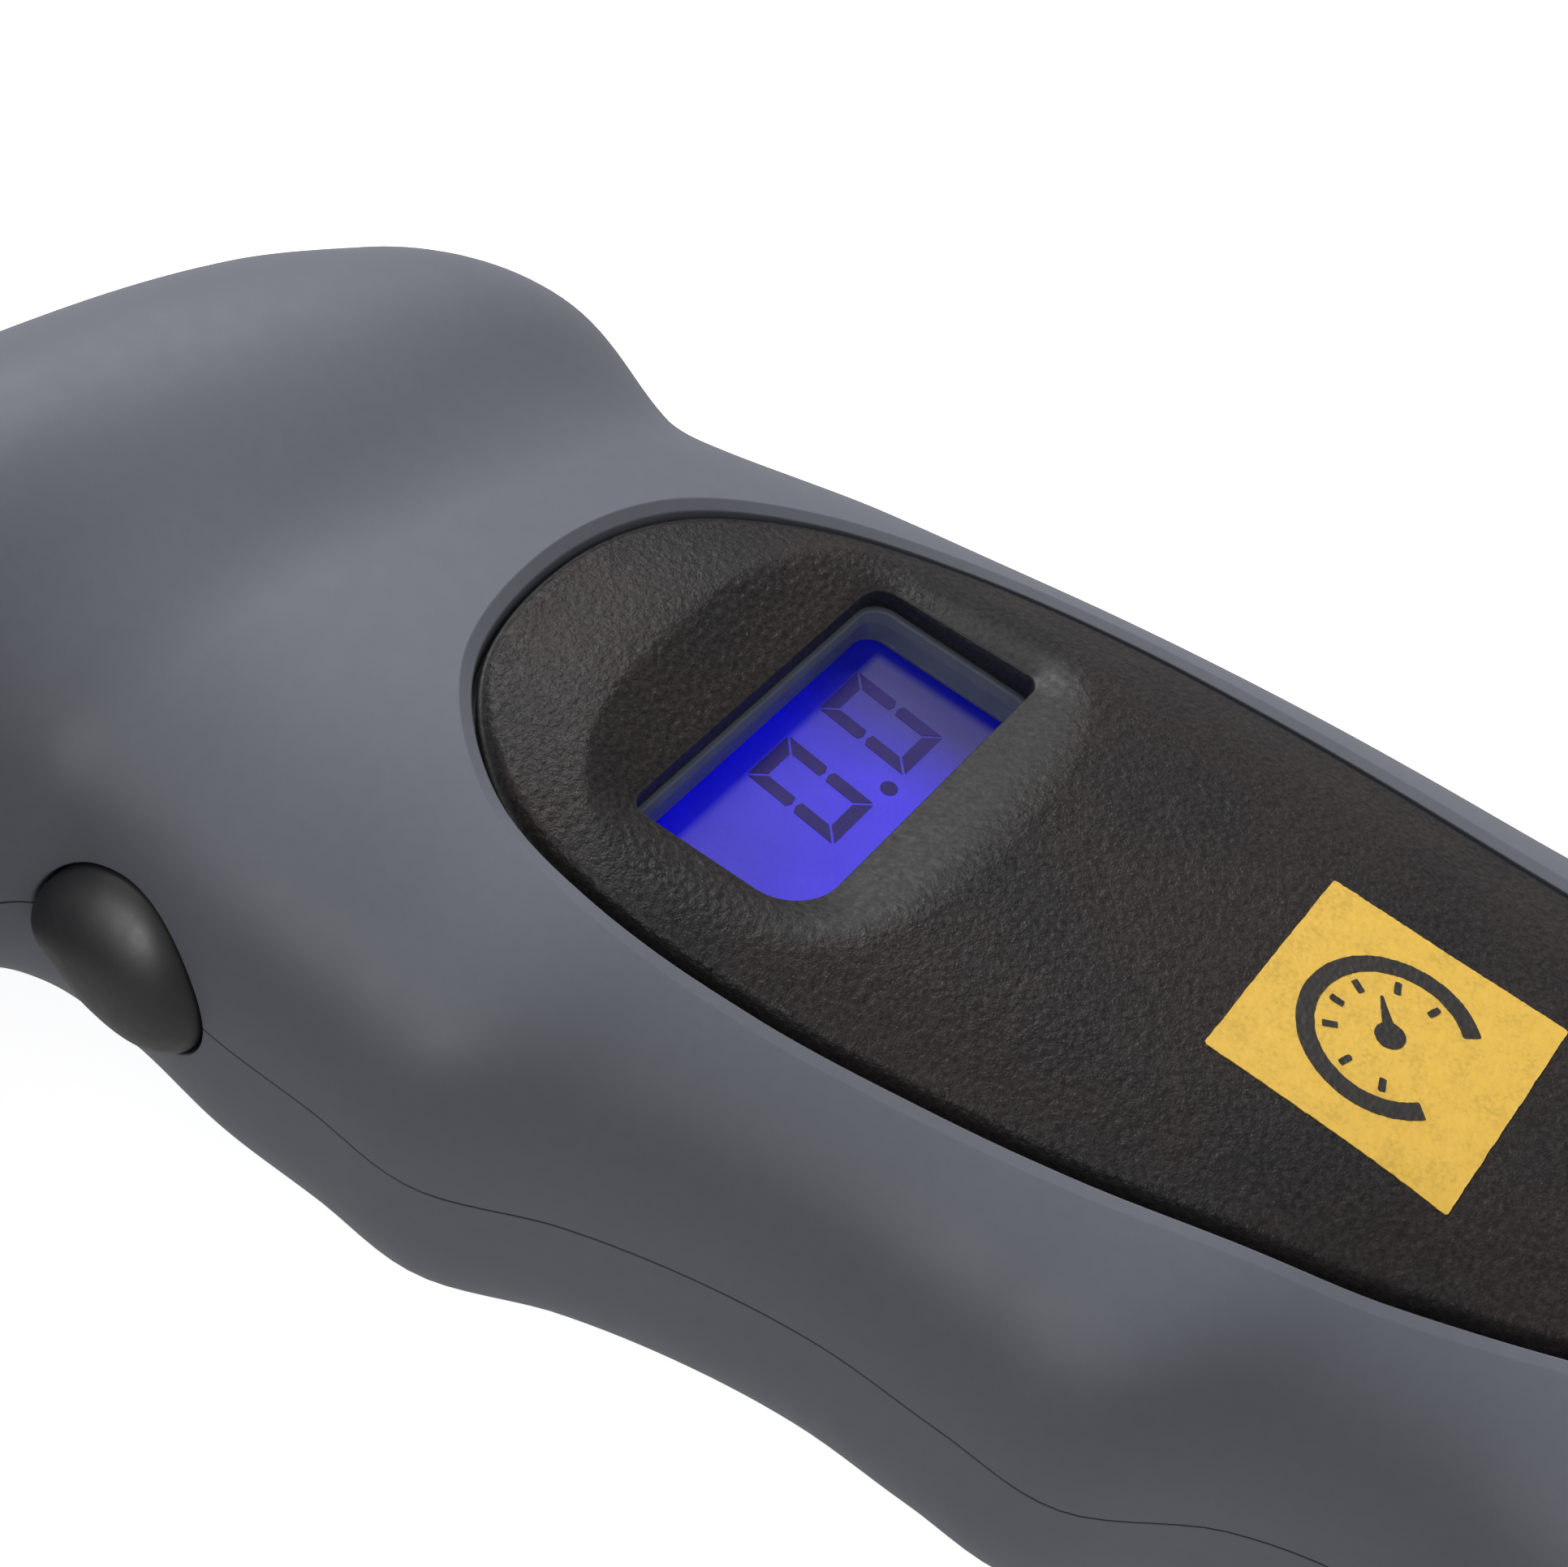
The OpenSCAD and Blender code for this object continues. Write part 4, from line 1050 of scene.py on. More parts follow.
def dial_sd(x, y):
    """A plain dial: an open ring, ticks, a pointer and a hub."""
    r = np.hypot(x, y)
    ang = np.degrees(np.arctan2(y, x))
    ring = np.abs(r - 3.32) - 0.37
    gap = 41 - np.abs(ang)            # opens towards the butt
    res = np.maximum(ring, gap * np.pi / 180 * 3.3)
    for a in (70, 110, 150, 180, -150, -110, -70):
        t = math.radians(a)
        u, v = x * math.cos(t) + y * math.sin(t), -x * math.sin(t) + y * math.cos(t)
        res = np.minimum(res, np.maximum(np.abs(u - 2.35) - 0.3, np.abs(v) - 0.14))
    t = math.radians(128)
    u, v = x * math.cos(t) + y * math.sin(t), -x * math.sin(t) + y * math.cos(t)
    res = np.minimum(res, np.maximum(np.maximum(-u, u - 1.85), np.abs(v) - 0.30 * (1 - u / 2.3)))
    res = np.minimum(res, r - 0.62)
    return res + 0.03 * (vnoise(x, y, 0.3, 51) - 0.5)


badge = film("badge_print", badge_sd, -5.6, 5.6, -5.6, 5.6, 0.11, 0.050, 0.06, 0.75)
mark = film("badge_mark", dial_sd, -4.2, 4.2, -4.2, 4.2, 0.09, 0.075, 0.02, 0.75)


# ------------------------------------------------------------------ display
def tube_ring(loops):
    """A closed ring through rings of points, each at its own place; the last joins the first."""
    k, n = len(loops), len(loops[0])
    V = np.vstack(loops)
    T = []
    for i in range(k):
        for j in range(n):
            a, b = i * n + j, i * n + (j + 1) % n
            c, e = ((i + 1) % k) * n + j, ((i + 1) % k) * n + (j + 1) % n
            T += [(a, b, c), (b, e, c)]
    return V, np.array(T)


def open_ring(d, z, k=14, m=24):
    """The opening's outline moved outwards by d, at the height z."""
    pts = []
    for sx, sy, a0 in ((1, 1, 0), (-1, 1, 90), (-1, -1, 180), (1, -1, 270)):
        r = float(corner_r(np.array(sx * 1.0), np.array(sy * 1.0)))
        cx_, cy_ = sx * (OX - r), sy * (OY - r)
        for q in range(k + 1):
            a = math.radians(a0 + 90 * q / k)
            pts.append([DCX + cx_ + (r + d) * math.cos(a), DCY + cy_ + (r + d) * math.sin(a), z])
        nxt = {(1, 1): (-1, 1), (-1, 1): (-1, -1), (-1, -1): (1, -1), (1, -1): (1, 1)}[(sx, sy)]
        r2 = float(corner_r(np.array(nxt[0] * 1.0), np.array(nxt[1] * 1.0)))
        a = math.radians(a0 + 90)
        e = np.array([DCX + nxt[0] * (OX - r2) + (r2 + d) * math.cos(a), DCY + nxt[1] * (OY - r2) + (r2 + d) * math.sin(a), z])
        st_ = np.array(pts[-1])
        pts += [list(st_ + (e - st_) * t / m) for t in range(1, m)]
    return np.array(pts)


lip = piece("display_lip", *tube_ring([open_ring(0.14, -2.46), open_ring(-0.10, -2.46), open_ring(-0.18, -2.54),
                                       open_ring(-0.20, -4.20), open_ring(-0.14, -4.29), open_ring(0.14, -4.29)]), 30)


def cap_rings(rings):
    """A closed solid through rings, its two ends closed by fans."""
    k, n = len(rings), len(rings[0])
    V = np.vstack(rings + [rings[0].mean(0)[None], rings[-1].mean(0)[None]])
    T = []
    for i in range(k - 1):
        for j in range(n):
            a, b, c, e = i * n + j, i * n + (j + 1) % n, (i + 1) * n + j, (i + 1) * n + (j + 1) % n
            T += [(a, b, c), (b, e, c)]
    T += [(k * n, (j + 1) % n, j) for j in range(n)] + [(k * n + 1, (k - 1) * n + j, (k - 1) * n + (j + 1) % n) for j in range(n)]
    return V, np.array(T)


pane = piece("display_pane", *cap_rings([open_ring(-0.30, -3.95), open_ring(-0.25, -3.90), open_ring(-0.25, -3.10), open_ring(-0.30, -3.05)]), 30)


def digit(cx, cy, on):
    """Segments of a figure whose top points to -X, mitred at the corners. Returns polygons in x, y."""
    H, W, w, g = 2.385, 1.465, 0.64, 0.085
    h = w / 2
    v = lambda sx, sy: [(sx * (H - g), sy * W), (sx * (g + 0.42 * h), sy * W), (sx * g, sy * (W - 0.45 * w)),
                        (sx * (g + 0.30 * h), sy * (W - w)), (sx * (H - w - g), sy * (W - w))]
    q = lambda sx: [(sx * H, -W + g), (sx * H, W - g), (sx * (H - w), W - w - g), (sx * (H - w), -W + w + g)]
    bars = {"a": q(-1), "d": q(1), "f": v(-1, -1), "b": v(-1, 1), "e": v(1, -1), "c": v(1, 1)}
    out = []
    for k in on:
        P = np.array(bars[k], float)
        P = np.c_[P[:, 0], P[:, 1] - math.tan(math.radians(5.3)) * P[:, 0]]
        out.append(P + [cx, cy])
    return out


def slab(poly, z0, z1):
    """A thin prism with a tiny bevel on its top edge."""
    c = poly.mean(0)
    if np.cross(poly[1] - poly[0], poly[2] - poly[1]) < 0:
        poly = poly[::-1]
    n = len(poly)
    ins = poly + 0.015 * unit(c - poly)
    V = np.vstack([np.c_[poly, np.full(n, z0)], np.c_[poly, np.full(n, z1 - 0.01)], np.c_[ins, np.full(n, z1)]])
    T = [t for i in range(2) for j in range(n) for t in ((i * n + j, i * n + (j + 1) % n, (i + 1) * n + j), (i * n + (j + 1) % n, (i + 1) * n + (j + 1) % n, (i + 1) * n + j))]
    T += [(0, j + 1, j) for j in range(1, n - 1)] + [(2 * n, 2 * n + j, 2 * n + j + 1) for j in range(1, n - 1)]
    return V, np.array(T)


sp = Soup()
for cx, cy in ((-24.53, -2.6), (-24.53, 2.5)):
    for P in digit(cx, cy, "abcdef"):
        sp.add(*slab(P, -4.295, -4.25))
a = np.arange(24) * 2 * np.pi / 24
sp.add(*slab(np.c_[-22.2 + 0.38 * np.cos(a), -0.21 + 0.38 * np.sin(a)], -4.295, -4.25))
digits = piece("display_figures", *sp.get(), 30)


# ------------------------------------------------------------------ button
BR = 4.36
nr, na = 30, 128
ang = np.arange(na) * 2 * np.pi / na
rho = BR * np.sin(np.linspace(0, np.pi / 2, nr)) ** 0.92
rho[0] = 0.0
RR, AA = np.meshgrid(rho, ang, indexing="ij")
QX, QZ = BCX + RR * np.cos(AA), BCZ + RR * np.sin(AA)
skin = cast(np.stack([QX, np.full_like(QX, -12.0), QZ], -1), np.broadcast_to(np.array([0, -1.0, 0]), QX.shape + (3,)), 0.0, 22.0)[..., 1]
rim_y = cast(np.stack([BCX + 4.6 * np.cos(ang), np.full(na, -12.0), BCZ + 4.6 * np.sin(ang)], -1), np.broadcast_to(np.array([0, -1.0, 0]), (na, 3)), 0.0, 22.0)[..., 1]
u = RR / BR
skin = skin * (1 - u ** 4) + (rim_y[None, :]) * u ** 4
flat = skin.mean()
QY = 0.55 * skin + 0.45 * (rim_y[None, :] * u ** 2 + flat * (1 - u ** 2)) + 0.16
apex = QY[0].mean()
lift = (26.0 + apex)
QY = QY - lift * np.sqrt(np.clip(1 - u ** 2.1, 0, 1)) ** 1.1
G = np.stack([QX, QY, QZ], -1)[1:]
Vb = np.vstack([G.reshape(-1, 3), [[BCX, -26.0, BCZ]]])
Tb = list(grid_tris(nr - 1, na, True))
top = len(Vb) - 1
Tb += [(top, j, (j + 1) % na) for j in range(na)]
low = np.c_[BCX + BR * np.cos(ang), np.full(na, -21.3), BCZ + BR * np.sin(ang)]
base = len(Vb)
Vb = np.vstack([Vb, low, [[BCX, -21.3, BCZ]]])
last = (nr - 2) * na
Tb += [t for j in range(na) for t in ((last + j, base + j, last + (j + 1) % na), (last + (j + 1) % na, base + j, base + (j + 1) % na))]
Tb += [(base + na, base + (j + 1) % na, base + j) for j in range(na)]
cap = fix_strips(Vb, np.array(Tb))
flange = box_mesh(BCX - 5.8, BCX + 5.8, -21.4, -20.4, BCZ - 2.8, BCZ + 2.8)
cap = boolean(cap, flange, "UNION")
stem = revolve([(0, 17.56), (1.85, 17.56), (2.0, 17.75), (2.0, 21.0), (0, 21.0)], "y", (BCX, 0, BCZ), 48)
cap = boolean(cap, stem, "UNION")
button = piece("button_cap", *cap, 32)


# ------------------------------------------------------------------ chuck collar
def ring_solid(profile, axis, centre, n=128):
    """Closed ring whose section is a closed profile of (radius, height)."""
    ang = np.arange(n) * 2 * np.pi / n
    loops = []
    for r, h in profile:
        loops.append(np.c_[centre[0] + r * np.cos(ang), np.full(n, -h), centre[2] + r * np.sin(ang)])
    return tube_ring(loops)


def fillet(profile, radii, k=5):
    out = []
    n = len(profile)
    for i, (p, r) in enumerate(zip(profile, radii)):
        p = np.array(p, float)
        if r <= 0:
            out.append(tuple(p)); continue
        a, b = np.array(profile[i - 1], float), np.array(profile[(i + 1) % n], float)
        u, v = unit(a - p), unit(b - p)
        for t in np.linspace(0, 1, k):
            out.append(tuple((1 - t) ** 2 * (p + r * u) + 2 * t * (1 - t) * p + t * t * (p + r * v)))
    return out


csec = fillet([(5.3, 52.4), (5.3, 51.5), (6.35, 51.45), (6.35, 45.92), (6.98, 45.92), (6.98, 49.98), (8.0, 49.98), (8.0, 50.75), (7.82, 51.0), (8.0, 51.25), (8.0, 52.4)],
              [0.3, 0.1, 0, 0.1, 0.15, 0, 0.12, 0.08, 0.15, 0.08, 0.4])
collar = piece("chuck_cap", *ring_solid(csec, "y", (NCX, 0, NCZ)), 32)


# ------------------------------------------------------------------ battery door
door = loft([rounded_rect(25.25, 47.5 - 0.35, CY - 7.35, CY + 7.35, 0.5), rounded_rect(25.25, 47.5 - 0.1, CY - 7.6, CY + 7.6, 0.7),
             rounded_rect(25.25, 47.5, CY - 7.7, CY + 7.7, 0.8), rounded_rect(25.25, 47.5, CY - 7.7, CY + 7.7, 0.8)],
            [ZB, ZB + 0.1, ZB + 0.35, ZB + 1.5])
roll = revolve([(0, -7.7), (0.55, -7.7), (0.75, -7.5), (0.75, 7.5), (0.55, 7.7), (0, 7.7)], "y", (25.25, CY, ZB + 0.75), 48)
door = boolean(door, roll, "UNION")
door = boolean(door, box_mesh(25.25, 26.6, CY - 7.68, CY + 7.68, ZB + 0.02, ZB + 1.5), "UNION")
for y in (CY - 4, CY + 4):
    door = boolean(door, box_mesh(24.6, 25.6, y - 1.2, y + 1.2, ZB + 0.9, ZB + 3.3), "UNION")
    door = boolean(door, box_mesh(22.7, 25.1, y - 1.2, y + 1.2, ZB + 2.45, ZB + 3.3), "UNION")
notch = revolve([(0, -0.5), (3.25, -0.5), (3.0, 0.12), (2.8, 0.6), (0, 0.6)], "z", (44, CY, ZB), 64)
door = boolean(door, notch, "DIFFERENCE")
for i in range(4):      # grip ribs for a thumb
    x = 34.0 + 1.6 * i
    door = boolean(door, box_mesh(x, x + 0.7, CY - 4.2, CY + 4.2, ZB - 0.5, ZB + 0.28), "DIFFERENCE")
hatch = piece("battery_hatch", *door, 32)

# ------------------------------------------------------------------ materials
def srgb(r, g, b):
    return tuple((c / 12.92 if c <= 0.04045 else ((c + 0.055) / 1.055) ** 2.4) for c in (r / 255, g / 255, b / 255)) + (1.0,)


class Mat:
    def __init__(self, name):
        self.m = bpy.data.materials.new(name)
        self.m.use_nodes = True
        self.t = self.m.node_tree
        self.p = self.t.nodes["Principled BSDF"]
        self.co = self.t.nodes.new("ShaderNodeTexCoord").outputs["Object"]

    def node(self, kind, **kw):
        n = self.t.nodes.new(kind)
        for k, v in kw.items():
            if k in n.inputs and not hasattr(type(n), k):
                n.inputs[k].default_value = v
            else:
                setattr(n, k, v)
        return n

    def link(self, a, b):
        self.t.links.new(a, b)

    def noise(self, scale, detail=3.0, rough=0.55, co=None):
        n = self.t.nodes.new("ShaderNodeTexNoise")
        n.inputs["Scale"].default_value = scale
        n.inputs["Detail"].default_value = detail
        n.inputs["Roughness"].default_value = rough
        self.link(co or self.co, n.inputs["Vector"])
        return n.outputs["Fac"]

    def voronoi(self, scale, feature="F1", out="Distance"):
        n = self.t.nodes.new("ShaderNodeTexVoronoi")
        n.feature = feature
        n.inputs["Scale"].default_value = scale
        self.link(self.co, n.inputs["Vector"])
        return n.outputs[out]

    def ramp(self, fac, stops):
        n = self.t.nodes.new("ShaderNodeValToRGB")
        el = n.color_ramp.elements
        while len(el) < len(stops):
            el.new(0.5)
        for e, (p, c) in zip(el, stops):
            e.position, e.color = p, (c if len(c) == 4 else tuple(c) + (1.0,))
        self.link(fac, n.inputs["Fac"])
        return n.outputs["Color"]

    def maps(self, fac, a, b, c, d):
        n = self.t.nodes.new("ShaderNodeMapRange")
        for k, v in zip(("From Min", "From Max", "To Min", "To Max"), (a, b, c, d)):
            n.inputs[k].default_value = v
        self.link(fac, n.inputs["Value"])
        return n.outputs["Result"]

    def math(self, op, a, b=None):
        n = self.t.nodes.new("ShaderNodeMath")
        n.operation = op
        for i, v in enumerate((a, b)):
            if v is None:
                continue
            if isinstance(v, (int, float)):
                n.inputs[i].default_value = v
            else:
                self.link(v, n.inputs[i])
        return n.outputs[0]

    def mix(self, fac, a, b):
        n = self.t.nodes.new("ShaderNodeMix")
        n.data_type = "RGBA"
        for i, v in ((0, fac), (6, a), (7, b)):
            if isinstance(v, (int, float)):
                n.inputs[i].default_value = v
            elif isinstance(v, tuple):
                n.inputs[i].default_value = v
            else:
                self.link(v, n.inputs[i])
        return n.outputs[2]

    def xyz(self):
        n = self.t.nodes.new("ShaderNodeSeparateXYZ")
        self.link(self.co, n.inputs[0])
        return n.outputs

    def bump(self, height, strength, dist):
        n = self.t.nodes.new("ShaderNodeBump")
        n.inputs["Strength"].default_value = strength
        n.inputs["Distance"].default_value = dist
        self.link(height, n.inputs["Height"])
        self.link(n.outputs["Normal"], self.p.inputs["Normal"])
        return n

    def base(self, sock): self.link(sock, self.p.inputs["Base Color"]); return self
    def rough(self, sock): self.link(sock, self.p.inputs["Roughness"]); return self

    def set(self, **kw):
        for k, v in kw.items():
            self.p.inputs[k.replace("_", " ")].default_value = v
        return self


def shade(c, k):
    return tuple(min(1.0, v * k) for v in c[:3]) + (1.0,)


def mottled(name, rgb, spread=0.08, scale=400, rough=(0.4, 0.5), bump=0.04, bscale=2500, **kw):
    m = Mat(name)
    c = srgb(*rgb)
    n = m.noise(scale, 4)
    m.base(m.ramp(n, [(0.3, shade(c, 1 - spread)), (0.7, shade(c, 1 + spread))]))
    m.rough(m.maps(m.noise(scale * 1.7, 3), 0.3, 0.7, rough[0], rough[1]))
    if bump:
        m.bump(m.noise(bscale, 2), bump, 0.00003)
    return m.set(**kw)


def mm_x(x): return (x - ORG[0]) / 1000.0
def mm_y(y): return (y - ORG[1]) / 1000.0


# satin grey shell
grey = Mat("shell_grey")
gc = srgb(115, 118, 127)
n = grey.mix(0.5, grey.noise(60, 3), grey.noise(1800, 3))
# painted shade: the base colour darkens to 0.28 within about 0.085 mm of the parting plane, where the seam's groove
# lies in shadow
seam_shade = grey.math("ABSOLUTE", grey.math("SUBTRACT", grey.xyz()[2], (ZP - ZB) / 1000.0))
seam_shade = grey.maps(seam_shade, 0.00003, 0.000085, 0.28, 1.0)
gsc = grey.t.nodes.new("ShaderNodeVectorMath"); gsc.operation = "SCALE"
grey.link(grey.ramp(n, [(0.35, shade(gc, 0.965)), (0.65, shade(gc, 1.035))]), gsc.inputs[0])
grey.link(seam_shade, gsc.inputs["Scale"])
grey.base(gsc.outputs[0])
grey.rough(grey.maps(grey.noise(900, 4), 0.3, 0.7, 0.44, 0.52))
grey.bump(grey.noise(5200, 2), 0.05, 0.00002)
grey.set(Specular_IOR_Level=0.13)

# grained black plate
blk = Mat("face_black")
warm, cool = srgb(53, 48, 46), srgb(47, 45, 46)
tone = blk.mix(blk.maps(blk.noise(140, 3), 0.4, 0.62, 0, 1), warm, cool)
speck = blk.maps(blk.noise(4200, 2), 0.35, 0.7, 0.72, 1.35)
ga0 = blk.t.nodes.new("ShaderNodeAttribute")
ga0.attribute_name = "grain"
tone = blk.mix(blk.maps(ga0.outputs["Fac"], 0.1, 0.7, 1.0, 0.0), tone, srgb(49, 49, 50))
sc = blk.t.nodes.new("ShaderNodeVectorMath"); sc.operation = "SCALE"
blk.link(tone, sc.inputs[0]); blk.link(speck, sc.inputs["Scale"])
blk.base(sc.outputs[0])
blk.rough(blk.maps(blk.noise(3000, 3), 0.3, 0.7, 0.28, 0.5))
hgt = blk.math("ADD", blk.math("MULTIPLY", blk.voronoi(3600, "SMOOTH_F1"), -1.0), blk.noise(9000, 2))
ga = blk.t.nodes.new("ShaderNodeAttribute")
ga.attribute_name = "grain"
bn = blk.bump(hgt, 0.5, 0.00008)
blk.link(blk.maps(ga.outputs["Fac"], 0.05, 0.9, 0.07, 0.6), bn.inputs["Strength"])
blk.set(Specular_IOR_Level=0.135)

# the opening's wall, black like the plate, painted light bluish grey: a painted reflection of the lit interior
wall_reflection = mottled("opening_wall_reflection", (118, 126, 138), 0.08, 700, (0.6, 0.75), 0.05, 3000, Specular_IOR_Level=0.12)

# printed label
yel = Mat("badge_yellow")
yc = srgb(244, 198, 80)
yel.base(yel.ramp(yel.mix(0.5, yel.noise(900, 4), yel.noise(5200, 2)), [(0.36, shade(yc, 0.84)), (0.5, yc), (0.66, shade(yc, 1.05))]))
yel.rough(yel.maps(yel.noise(2500, 3), 0.3, 0.7, 0.42, 0.6))
yel.bump(yel.noise(5200, 3), 0.12, 0.00004)
ink = mottled("badge_ink", (44, 40, 36), 0.18, 2600, (0.42, 0.6), 0.12, 5200)

# button
btn = mottled("button_black", (40, 40, 42), 0.06, 900, (0.45, 0.53), 0.05, 4200, Specular_IOR_Level=0.5)

# lit display
lcd = Mat("display_blue")
X, Y, Z = lcd.xyz()
# painted shade: the emission turns dark blue in a band along the -X and +Y walls of the opening and is dimmer towards
# the +Y side, where the walls shade the display
sx = lcd.maps(X, mm_x(-27.05), mm_x(-26.65), 0, 1)
sy = lcd.maps(Y, mm_y(5.85), mm_y(5.35), 0, 1)
field = lcd.math("MULTIPLY", sx, sy)
depth = lcd.maps(X, mm_x(-27.5), mm_x(-20.5), 0, 1)
side = lcd.maps(Y, mm_y(4.2), mm_y(-0.3), 0, 1)
far = lcd.maps(Y, mm_y(-9.5), mm_y(-4.0), 0.82, 1.0)
cool_ = lcd.mix(side, srgb(72, 69, 124), srgb(72, 65, 204))
hot = lcd.mix(side, srgb(68, 65, 122), srgb(82, 68, 236))
body_c = lcd.mix(depth, cool_, hot)
cloud = lcd.maps(lcd.noise(260, 3), 0.35, 0.68, 0.93, 1.06)
fine = lcd.maps(lcd.noise(5200, 2), 0.3, 0.7, 0.96, 1.04)
sc = lcd.t.nodes.new("ShaderNodeVectorMath"); sc.operation = "SCALE"
lcd.link(body_c, sc.inputs[0]); lcd.link(lcd.math("MULTIPLY", lcd.math("MULTIPLY", cloud, fine), far), sc.inputs["Scale"])
# colour of the painted shade band along the walls
wall_shade_c = lcd.mix(side, srgb(0, 4, 118), lcd.mix(lcd.noise(800, 2), srgb(0, 0, 172), srgb(2, 2, 198)))
emit = lcd.mix(field, wall_shade_c, sc.outputs[0])
lcd.link(emit, lcd.p.inputs["Emission Color"])
lcd.set(Emission_Strength=0.92, Specular_IOR_Level=0.2, Roughness=0.4)
lcd.base(lcd.ramp(lcd.noise(700, 2), [(0.3, (0.006, 0.006, 0.02, 1)), (0.7, (0.010, 0.010, 0.03, 1))]))

seg = Mat("segment_navy")
# painted shade: the figures' glow turns darker navy near the -X wall of the opening, as the display's band does
sx2 = seg.maps(seg.xyz()[0], mm_x(-27.1), mm_x(-26.4), 0, 1)
seg.link(seg.mix(sx2, srgb(14, 10, 96), seg.mix(seg.noise(600, 2), srgb(44, 34, 96), srgb(54, 44, 116))), seg.p.inputs["Emission Color"])
seg.set(Emission_Strength=0.85, Specular_IOR_Level=0.15, Roughness=0.45)
seg.base(seg.ramp(seg.noise(900, 2), [(0.3, (0.008, 0.006, 0.02, 1)), (0.7, (0.012, 0.01, 0.03, 1))]))

# clear window: lets light through, with a faint gloss
win = Mat("window_clear")
tr = win.t.nodes.new("ShaderNodeBsdfTransparent")
gl = win.t.nodes.new("ShaderNodeBsdfGlossy")
gl.inputs["Roughness"].default_value = 0.08
lw = win.t.nodes.new("ShaderNodeFresnel")
lw.inputs["IOR"].default_value = 1.3
mx = win.t.nodes.new("ShaderNodeMixShader")
win.link(win.ramp(win.noise(300, 2), [(0.3, (0.955, 0.96, 0.975, 1)), (0.7, (0.975, 0.98, 0.99, 1))]), tr.inputs["Color"])
win.link(win.math("MULTIPLY", lw.outputs[0], 0.18), mx.inputs[0])
win.link(tr.outputs[0], mx.inputs[1])
win.link(gl.outputs[0], mx.inputs[2])
win.link(mx.outputs[0], win.t.nodes["Material Output"].inputs["Surface"])


def metal(name, rgb, rough=(0.25, 0.4), spread=0.08, scale=900):
    m = mottled(name, rgb, spread, scale, rough, 0.05, 3000)
    return m.set(Metallic=1.0)


def board():
    m = Mat("board_green")
    a, b = srgb(18, 92, 52), srgb(26, 112, 62)
    v = m.voronoi(420, "DISTANCE_TO_EDGE")
    m.base(m.mix(m.maps(v, 0.0, 0.12, 0, 1), b, a))
    m.rough(m.maps(m.noise(800, 3), 0.3, 0.7, 0.3, 0.45))
    m.bump(v, 0.08, 0.00005)
    return m


MATS = {
    "shell_grey": grey, "face_black": blk, "window_clear": win, "badge_yellow": yel, "badge_ink": ink,
    "button_black": btn, "display_blue": lcd, "segment_navy": seg, "board_green": board(),
    "screw_steel": metal("screw_steel", (188, 188, 192)),
    "passive_tan": mottled("passive_tan", (186, 160, 112), 0.14, 900, (0.4, 0.55)),
    "chip_black": mottled("chip_black", (34, 34, 36), 0.15, 1200, (0.45, 0.6), 0.15, 3800),
    "frame_white": mottled("frame_white", (226, 226, 222), 0.03, 400, (0.4, 0.5)),
    "connector_pink": mottled("connector_pink", (206, 138, 140), 0.08, 1200, (0.5, 0.65)),
    "guide_clear": mottled("guide_clear", (216, 228, 240), 0.04, 300, (0.15, 0.25), Alpha=0.6),
    "led_blue": mottled("led_blue", (80, 110, 220), 0.08, 900, (0.3, 0.4)),
    "switch_black": mottled("switch_black", (38, 38, 40), 0.12, 1100, (0.4, 0.55)),
    "plunger_red": mottled("plunger_red", (178, 42, 36), 0.1, 900, (0.4, 0.5)),
    "collar_black": mottled("collar_black", (46, 46, 49), 0.1, 800, (0.4, 0.52), 0.08, 3800),
    "chuck_brass": metal("chuck_brass", (202, 164, 84), (0.22, 0.38)),
    "seal_rubber": mottled("seal_rubber", (28, 28, 29), 0.15, 1500, (0.6, 0.75), 0.12, 4200),
    "sensor_steel": metal("sensor_steel", (176, 178, 182)),
    "wire_white": mottled("wire_white", (222, 220, 212), 0.05, 900, (0.4, 0.5)),
    "cell_steel": metal("cell_steel", (196, 197, 200), (0.2, 0.34)),
    "contact_nickel": metal("contact_nickel", (190, 186, 176), (0.22, 0.36)),
    "wire_red": mottled("wire_red", (186, 36, 32), 0.08, 900, (0.4, 0.5)),
    "wire_black": mottled("wire_black", (30, 30, 32), 0.1, 900, (0.42, 0.55)),
}


def paint(ob, m):
    ob.data.materials.clear()
    ob.data.materials.append(m.m)


# ------------------------------------------------------------------ what rides where
PIECES = [
    (front, "housing", "shell_grey", ["front_shell"], grey),
    (rear, "housing", "shell_grey", ["rear_shell"], grey),
    (face, "housing", "face_black", ["face_plate"], blk),
    (lip, "housing", "face_black", [], wall_reflection),
    (pane, "housing", "window_clear", ["display_window"], win),
    (badge, "housing", "badge_yellow", ["badge_plate"], yel),
    (mark, "housing", "badge_ink", ["badge_symbol"], ink),
    (digits, "housing", "segment_navy", ["display_segments"], seg),
    (button, "button", "button_black", ["side_button"], btn),
    (collar, "housing", "collar_black", ["chuck_collar"], MATS["collar_black"]),
    (hatch, "door", "shell_grey", ["battery_door"], grey),
]
gone = set()
for ob, body, slot, nodes, m in PIECES:
    paint(ob, m)
    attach(ob, body)
    if nodes:
        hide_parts(*nodes)
        gone.update(nodes)

rec = frame["record"]
slots = {}
for sp_ in rec["subparts"]:
    slots[sp_["node"]] = sp_["material_slot"]
for name in NODES:
    if name in gone:
        continue
    ob = bpy.data.objects.get(name)
    if ob is not None and ob.type == "MESH":
        paint(ob, MATS[slots[name]])

